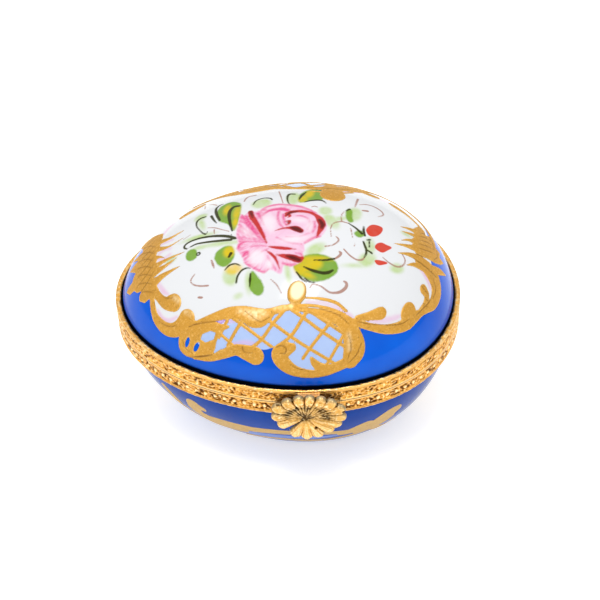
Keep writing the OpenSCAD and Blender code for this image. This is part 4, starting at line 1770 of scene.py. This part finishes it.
@dataclass
class Base:
    """The lower half's painted porcelain and gilding."""

    gilt_step: float = 0.3
    gilt_height: float = 0.1
    seam: float = 32.6

    def unrolled(self, heading: Array, rise: Array) -> Array:
        """Places along the rim from the front and down from the parting plane.

        Args:
            heading: Angles round the egg.
            rise: Angles from the pole.

        Returns:
            Unrolled places.
        """
        along = (heading + np.pi / 2) * EGG.half_length
        round_trip = 2 * BASE_REPEAT
        along = self.seam - np.mod(self.seam - along, round_trip)
        return np.stack([along, (rise - np.pi / 2) * EGG.base_depth], axis=-1)

    def place(self, spots: Array, lift: Array) -> Array:
        """Surface points over unrolled places, raised by lift.

        Args:
            spots: Unrolled places.
            lift: Height over the glaze.

        Returns:
            Points on the bowl.
        """
        turn = spots[:, 0] / BASE_REPEAT * np.pi - np.pi / 2
        rise = np.pi / 2 + spots[:, 1] / EGG.base_depth
        flat = EGG.flat_map(turn, rise)
        return EGG.from_map(flat, Half.BASE, lift)

    def repeated(self, strokes: Sequence[Stroke]) -> list[Stroke]:
        """Strokes and their copies round the back."""
        return [[(x - BASE_REPEAT * k, y, w) for x, y, w in stroke] for stroke in strokes for k in (0, 1, 2)]

    def gilt_distance(self, places: Array) -> Array:
        """How far unrolled places are from the base's gilding.

        Args:
            places: Unrolled places.

        Returns:
            A distance for each place.
        """
        found = Canvas(places, 1.2).strokes(self.repeated(BASE_SCROLLS))
        above, half_width = FOOT_LINE
        heading = places[:, 0] / BASE_REPEAT * np.pi - np.pi / 2
        foot = (EGG.rise_at(heading, EGG.part_z, Half.BASE) - np.pi / 2) * EGG.base_depth
        climb = places[:, 1] - foot
        return np.maximum(np.minimum(found, np.abs(climb - above) - half_width), 0.4 - climb)

    def porcelain(self, finishes: Workshop) -> bpy.types.Object:
        """Builds and paints the base's shell.

        Args:
            finishes: The finishes.

        Returns:
            The piece.
        """
        piece, heading, rise = Shell(Half.BASE, 500, 84, 125, 30).build("base_painted_bowl")
        canvas = Canvas(self.unrolled(heading, rise))
        copies = [[(x - BASE_REPEAT * k, y) for x, y in BASE_PANEL] for k in (0, 1, 2)]
        outside = np.full(len(piece.data.vertices) - len(heading), FAR)
        panels = np.append(canvas.shapes(copies), outside)
        paint(piece, "ground", [outside, panels])
        dress(piece, [finishes.base_paint, finishes.white_glaze, finishes.bisque])
        settle(piece, Body.BASE, ["base_porcelain"])
        return piece

    def gilding(self, finishes: Workshop) -> bpy.types.Object:
        """Builds the raised gilding round the base.

        Args:
            finishes: The finishes.

        Returns:
            The piece.
        """
        sheet = Sheet((self.seam - 2 * BASE_REPEAT, -28.6), (self.seam, -7.0), self.gilt_step)
        mesher, _, depth = sheet.pad(
            self.gilt_distance,
            self.place,
            lambda spots, inside: rounded(inside, 0.45, self.gilt_height) + 0.01 * grain(spots, 0.5, 5),
            0.1,
        )
        piece = mesher.build("base_gilding", EGG.part_z, 60)
        paint(piece, "gilt", [depth, 0 * depth, 0 * depth, 0 * depth])
        dress(piece, [finishes.low_gilding])
        settle(piece, Body.BASE)
        return piece


# The brass


@dataclass
class Rim:
    """A stamped brass rim: band, rolled edge and flange, with its pattern pressed into the band."""

    half: Half
    height: float = 3.3
    gap: float = 0.1
    out: float = 1.07
    band: float = 0.6
    flange: float = 0.7
    inner: float = 1.2
    lip: float = -0.12
    roll: float = 0.36
    gape: float = 0.58
    stations: int = 1160
    face_steps: int = 24

    def pattern(self, along: Array, up: Array) -> Array:
        """How deep the stamping lies, from places along the rim and up its band.

        Args:
            along: Places along the rim.
            up: Places up its band.

        Returns:
            A depth for each place.
        """
        places = np.stack([along, up], axis=-1)
        lumps = (
            0.11 * grain(places, 0.55, 11) + 0.12 * grain(places, 0.32, 12) + 0.05 * grain(places, 0.18, 13)
        )
        if self.half is Half.LID:
            low, high = 0.3, 2.3
            cell = np.mod(along, 2.3) - 1.15
            ring = np.abs(np.hypot(cell, up - 1.25) - 0.42)
            leaf = np.abs(np.abs(cell) - 0.78 - 0.2 * np.sin(3 * (up - 1.25)))
            raised = 0.09 * np.exp(-((ring / 0.16) ** 2)) + 0.08 * np.exp(-((leaf / 0.14) ** 2))
            lines = 0.14 * np.exp(-(((up - 2.44) / 0.08) ** 2)) + 0.1 * np.exp(-(((up - 2.8) / 0.06) ** 2))
        else:
            low, high = 0.35, 2.55
            bead = np.hypot(np.mod(along, 2.04) - 1.02, up - 1.35)
            raised = 0.36 * np.sqrt(np.maximum(1 - (bead / 0.42) ** 2, 0))
            raised -= 0.05 * np.exp(-(((bead - 0.5) / 0.1) ** 2))
            lines = 0.1 * np.exp(-(((up - 2.68) / 0.08) ** 2)) + 0.06 * np.exp(-(((up - 0.28) / 0.07) ** 2))
        field_share = np.clip((up - low) / 0.12, 0, 1) * np.clip((high - up) / 0.12, 0, 1)
        depth = field_share * (0.16 - lumps - raised) + lines + 0.012 * grain(places, 0.3, 14)
        return np.clip(depth + 0.03, 0, 0.4)

    def build(self, name: str) -> tuple[bpy.types.Object, Array, Array]:
        """Builds the ring and returns it with each point's share of hollow and of painted glint.

        Args:
            name: The piece's name.

        Returns:
            The piece, its hollows and its painted glints.
        """
        turn = np.arange(self.stations) * 2 * np.pi / self.stations
        outline = EGG.outline(turn, self.out)
        along = np.concatenate([[0], np.cumsum(np.linalg.norm(np.diff(outline, axis=0), axis=1))])
        along *= round(along[-1] / 4.6) * 4.6 / along[-1] * self.stations / (self.stations - 1)
        width = (self.out - self.lip) / 2
        face = [(self.out, z, True) for z in np.linspace(self.gap, self.height - self.roll, self.face_steps)]
        angles = np.linspace(0, np.pi, 15)[1:]
        middle, crown = self.out - width, self.height - self.roll
        top = [(middle + width * math.cos(a), crown + self.roll * math.sin(a) ** 0.8, False) for a in angles]
        low = self.gap + self.flange
        inside = self.out - self.band
        back = [
            (inside, crown, False),
            (inside, low, False),
            (-self.inner, low, False),
            (-self.inner, self.gap, False),
        ]
        profile = [*face, *top, *back]
        mesher = Mesher()
        rings, hollows, painted_glint = [], [], []
        wider = self.gape * np.sin(turn) ** 2
        for out, z, stamped in profile:
            dent = 0.05 * (1 + grain(np.stack([along, np.full(self.stations, out)], axis=-1), 0.45, 17))
            rolled = not stamped and z > crown
            if stamped:
                depth = self.pattern(along, np.full(self.stations, z - self.gap))
            else:
                depth = dent if rolled else np.zeros(self.stations)
            share = np.clip((self.out - out) / (self.out - self.lip), 0, 1) if rolled else 0
            spots = EGG.outline(turn, out - (depth if stamped else 0) + share * wider)
            drop = depth if rolled else 0
            level = ((z - drop) * self.half.value * np.ones(self.stations))[:, None]
            rings.append(mesher.ring(np.hstack([spots, level])))
            hollows.append(np.clip((depth - 0.07) / 0.22, 0, 1) * stamped)
            # painted glints on the stamping's raised tips and along the rolled edge
            painted_glint.append(
                0.5 * np.clip((0.03 - depth) / 0.03, 0, 1) * stamped
                + 0.45 * np.clip(1 - dent / 0.05, 0, 1) * rolled
            )
        for low_ring, high_ring in zip(rings, [*rings[1:], rings[0]]):
            mesher.band(low_ring, high_ring)
        piece = mesher.build(name, EGG.part_z, 35)
        turn_outwards(piece)
        return piece, np.concatenate(hollows), np.concatenate(painted_glint)

    def dress(self, finishes: Workshop) -> bpy.types.Object:
        """Builds the rim in stamped brass in place of its node.

        Args:
            finishes: The finishes.

        Returns:
            The piece.
        """
        on_lid = self.half is Half.LID
        piece, hollow, painted_glint = self.build("lid_stamped_rim" if on_lid else "base_stamped_rim")
        paint(piece, "hollow", [hollow, painted_glint])
        dress(piece, [finishes.stamped])
        body, node = (Body.LID, "lid_bezel") if on_lid else (Body.BASE, "base_bezel")
        settle(piece, body, [node])
        return piece


PETALS: list[tuple[float, float, float]] = [
    (0.6, 5.5, 1.05), (-1.5, 5.25, 1.15), (2.7, 5.2, 1.15), (-3.65, 4.45, 1.2), (4.6, 4.5, 1.2),
    (-5.55, 3.1, 1.2),
    (6.3, 3.0, 1.2), (-5.85, 0.8, 1.05), (6.55, 1.0, 1.05), (-4.6, -1.1, 1.25), (5.6, -0.8, 1.15),
    (4.1, -2.2, 1.25),
    (-2.2, -3.5, 1.3), (-0.1, -4.15, 1.25), (2.0, -3.55, 1.3),
]
PINHOLES = [(-5.3, 4.35, 0.55), (7.1, 2.6, 0.34), (1.75, -1.9, 0.34), (-1.9, 3.5, 0.24)]
HEART = (-0.3, 0.7)


@dataclass
class Clasp:
    """The cast shell on its spring tongue."""

    step: float = 0.085
    thickness: float = 0.4

    def __post_init__(self) -> None:
        """Finds the shell's centre and back from its node's box."""
        low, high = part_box("clasp_medallion")
        self.middle = ((low.x + high.x) / 2 / MM - 0.4, high.y / MM, EGG.part_z - 3.0)
        self.room = (high.y - low.y) / MM

    def distance(self, places: Array) -> Array:
        """How far places are from the nearest petal.

        Args:
            places: Places on the shell.

        Returns:
            A distance for each place, below zero inside.
        """
        a, b = HEART
        petals = [
            [(a, b, 0.5), (a + (x - a) * 0.6, b + (y - b) * 0.6, r * 0.66), (x, y, r)] for x, y, r in PETALS
        ]
        return Canvas(places).strokes(petals)

    def relief(self, places: Array, depth: Array) -> Array:
        """The shell's height: ribbed petals with cupped tips round a pressed centre.

        Args:
            places: Places on the shell.
            depth: How far inside the edge each is.

        Returns:
            A height for each place.
        """
        height = np.zeros(len(places))
        away = places - np.array(HEART)
        for x, y, r in PETALS:
            reach = np.array([x, y]) - np.array(HEART)
            length = math.hypot(*reach)
            way = reach / length
            along = away @ way
            across = away @ np.array([-way[1], way[0]])
            share = np.clip(along / length, 0, 1)
            width = 0.22 + (r * 1.02 - 0.22) * share
            tip = np.hypot(np.maximum(along - length, 0), across)
            gap = np.where(along > length, tip, np.abs(across)) / np.maximum(width, 0.1)
            dome = np.sqrt(np.maximum(1 - np.clip(gap, 0, 1) ** 2.4, 0))
            if y > -0.5:
                boss = 0.2 * np.exp(-(((share - 0.9) / 0.14) ** 2)) - 0.2 * np.exp(
                    -(((share - 0.6) / 0.15) ** 2)
                )
                cup = 0.13 * np.exp(-((np.hypot(along - length * 0.96, across * 1.2) / (0.5 * r)) ** 4))
                here = (
                    (0.44 + boss) * dome**0.6 - cup - 0.14 * np.exp(-((across / 0.13) ** 2)) * (share < 0.86)
                )
            else:
                side = np.exp(-(((np.abs(across) - width * 0.5) / 0.09) ** 2))
                here = (0.42 + 0.24 * share) * dome - 0.14 * side * np.clip(share * 3 - 0.9, 0, 1)
            height = np.where((gap < 1) & (along > -0.3), np.maximum(height, here), height)
        radius = np.hypot(away[:, 0], away[:, 1])
        height *= 0.35 + 0.65 * np.clip(radius / 2.4, 0, 1)
        bulge = 0.2 * np.clip(1 - (radius / 8) ** 2, 0, 1)
        height = (height + bulge) * np.sqrt(np.maximum(1 - (1 - np.clip(depth / 0.42, 0, 1)) ** 2, 0))
        for x, y, r in PINHOLES:
            height -= 0.6 * np.exp(-((np.hypot(places[:, 0] - x, places[:, 1] - y) / r) ** 4))
        height += 0.07 * grain(places, 0.5, 21) + 0.05 * grain(places, 0.24, 22)
        return np.clip(height, 0, self.room - self.thickness)

    def build(self, finishes: Workshop) -> bpy.types.Object:
        """Builds the shell in cast brass in place of its node.

        Args:
            finishes: The finishes.

        Returns:
            The piece.
        """
        x, y, z = self.middle

        def place(spots: Array, lift: Array) -> Array:
            """Points of the shell over places on it, raised by lift."""
            front = y - self.thickness - lift
            return np.stack([x + spots[:, 0], front, z - EGG.part_z + spots[:, 1]], axis=-1)

        sheet = Sheet((-7.2, -5.6), (7.8, 7.0), self.step)
        mesher, places, depth = sheet.pad(self.distance, place, self.relief, self.thickness)
        piece = mesher.build("clasp_shell", EGG.part_z, 50)
        turn_outwards(piece)
        height = self.relief(places, depth)
        hollow = np.clip((0.56 - height) / 0.4, 0, 1)
        # painted glints on the lobes' raised tips, stronger on the upper lobes
        painted_glint = np.where(places[:, 1] > 0.8, 0.7, 0.3) * np.clip((height - 0.66) / 0.12, 0, 1)
        # an oval just above the shell's middle is made darker, on top of the darker hollows
        dark_middle = 0.9 * np.exp(-((np.hypot((places[:, 0] + 0.2) / 4.4, (places[:, 1] - 1.9) / 1.9)) ** 2))
        darkened = np.clip(hollow + dark_middle * (0.65 + 0.35 * grain(places, 0.6, 23)), 0, 1)
        paint(piece, "hollow", [darkened, painted_glint * (1 - darkened)])
        dress(piece, [finishes.cast])
        settle(piece, Body.CLASP, ["clasp_medallion"])
        return piece


@dataclass
class Fittings:
    """Pieces whose modelled shape is kept: hinge, tongue, bracket, catch and cement."""

    brass_nodes: tuple[str, ...] = (
        "catch_bead", "base_hinge_leaf", "base_hinge_knuckles", "hinge_pin", "lid_hinge_leaf",
        "lid_hinge_knuckles", "clasp_bracket", "clasp_tongue",
    )
    cement_nodes: tuple[str, ...] = ("base_cement", "lid_cement")

    def dress(self, finishes: Workshop) -> None:
        """Gives the kept nodes their finishes.

        Args:
            finishes: The finishes.
        """
        for name in self.brass_nodes:
            dress(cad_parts[name], [finishes.drawn])
            LOG.info("%s: drawn brass", name)
        for name in self.cement_nodes:
            dress(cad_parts[name], [finishes.cement])
            LOG.info("%s: cement", name)


# The studio


@dataclass
class Studio:
    """White sweep, soft lights and the camera."""

    azimuth: float = 3.706
    elevation: float = 43.23
    roll: float = -2.0
    distance: float = 321.66
    lens: float = 94.24
    target: tuple[float, float, float] = (2.48, 0.14, 25.11)
    sensor: float = 36.0
    table_half: float = 2.0
    table_drop: float = 0.00002
    table_glow: float = 0.46
    lights: tuple[tuple[str, tuple[float, float, float], float, float], ...] = (
        ("overhead", (-0.02, -0.16, 0.8), 0.22, 2.6),
        ("left", (-0.5, -0.45, 0.5), 0.1, 0.35),
        ("right", (0.42, -0.6, 0.4), 0.08, 0.2),
    )

    def camera(self) -> None:
        """Adds the camera on its view of the box."""
        azimuth, elevation = math.radians(self.azimuth), math.radians(self.elevation)
        away = Vector(
            (
                math.sin(azimuth) * math.cos(elevation),
                -math.cos(azimuth) * math.cos(elevation),
                math.sin(elevation),
            )
        )
        data = bpy.data.cameras.new("camera")
        data.lens = self.lens
        data.sensor_width = self.sensor
        data.clip_start = 0.01
        camera = bpy.data.objects.new("camera", data)
        bpy.context.scene.collection.objects.link(camera)
        aim = away.to_track_quat("Z", "Y").to_matrix().to_4x4()
        turn = Matrix.Rotation(math.radians(self.roll), 4, "Z")
        spot = (Vector(self.target) + away * self.distance) * MM
        camera.matrix_world = Matrix.Translation(spot) @ aim @ turn
        bpy.context.scene.camera = camera

    def floor(self) -> None:
        """Adds the pale table."""
        size = self.table_half
        mesh = bpy.data.meshes.new("table")
        corners = [(-size, -size, 0), (size, -size, 0), (size, size, 0), (-size, size, 0)]
        mesh.from_pydata([(x, y, z - self.table_drop) for x, y, z in corners], [], [(0, 1, 2, 3)])
        table = bpy.data.objects.new("table", mesh)
        bpy.context.scene.collection.objects.link(table)
        material, graph, shader = new_material("white_table")
        soft = graph.noise(30.0, 3)
        graph.feed(shader.inputs["Base Color"], graph.mix(soft, (0.82, 0.82, 0.8, 1), (0.85, 0.85, 0.83, 1)))
        shader.inputs["Emission Color"].default_value = (1, 1, 1, 1)
        shader.inputs["Emission Strength"].default_value = self.table_glow
        shader.inputs["Roughness"].default_value = 0.9
        shader.inputs["Specular IOR Level"].default_value = 0.1
        dress(table, [material])

    def light(self, name: str, spot: tuple[float, float, float], size: float, power: float) -> None:
        """Adds a square soft light that looks at the box.

        Args:
            name: Its name.
            spot: Its place.
            size: Its width.
            power: Its power.
        """
        data = bpy.data.lights.new(name, "AREA")
        data.size = size
        data.energy = power
        lamp = bpy.data.objects.new(name, data)
        lamp.location = spot
        lamp.rotation_euler = Vector(spot).to_track_quat("Z", "Y").to_euler()
        bpy.context.scene.collection.objects.link(lamp)

    def build(self) -> None:
        """Sets the whole studio up."""
        world = bpy.data.worlds.new("studio")
        world.use_nodes = True
        graph = Graph(world.node_tree)
        shade = world.node_tree.nodes["Background"]
        shade.inputs["Color"].default_value = (0.98, 0.99, 1.0, 1)
        way = graph.add("ShaderNodeTexCoord").outputs["Generated"]
        up = graph.add("ShaderNodeSeparateXYZ", {"Vector": way}).outputs["Z"]
        graph.feed(shade.inputs["Strength"], graph.remap(up, -0.1, 0.75, 0.35, 1.15))
        bpy.context.scene.world = world
        bpy.context.scene.view_settings.view_transform = "Standard"
        self.camera()
        self.floor()
        for name, spot, size, power in self.lights:
            self.light(name, spot, size, power)


def main() -> None:
    """Builds the box piece by piece."""
    logging.basicConfig(level=logging.INFO, format="%(message)s")
    Studio().build()
    finishes = Workshop()
    lid = Lid()
    lid.porcelain(finishes)
    lid.gilding(finishes)
    base = Base()
    base.porcelain(finishes)
    base.gilding(finishes)
    Rim(Half.LID).dress(finishes)
    Rim(Half.BASE).dress(finishes)
    Clasp().build(finishes)
    Fittings().dress(finishes)


if __name__ == "__main__":
    main()
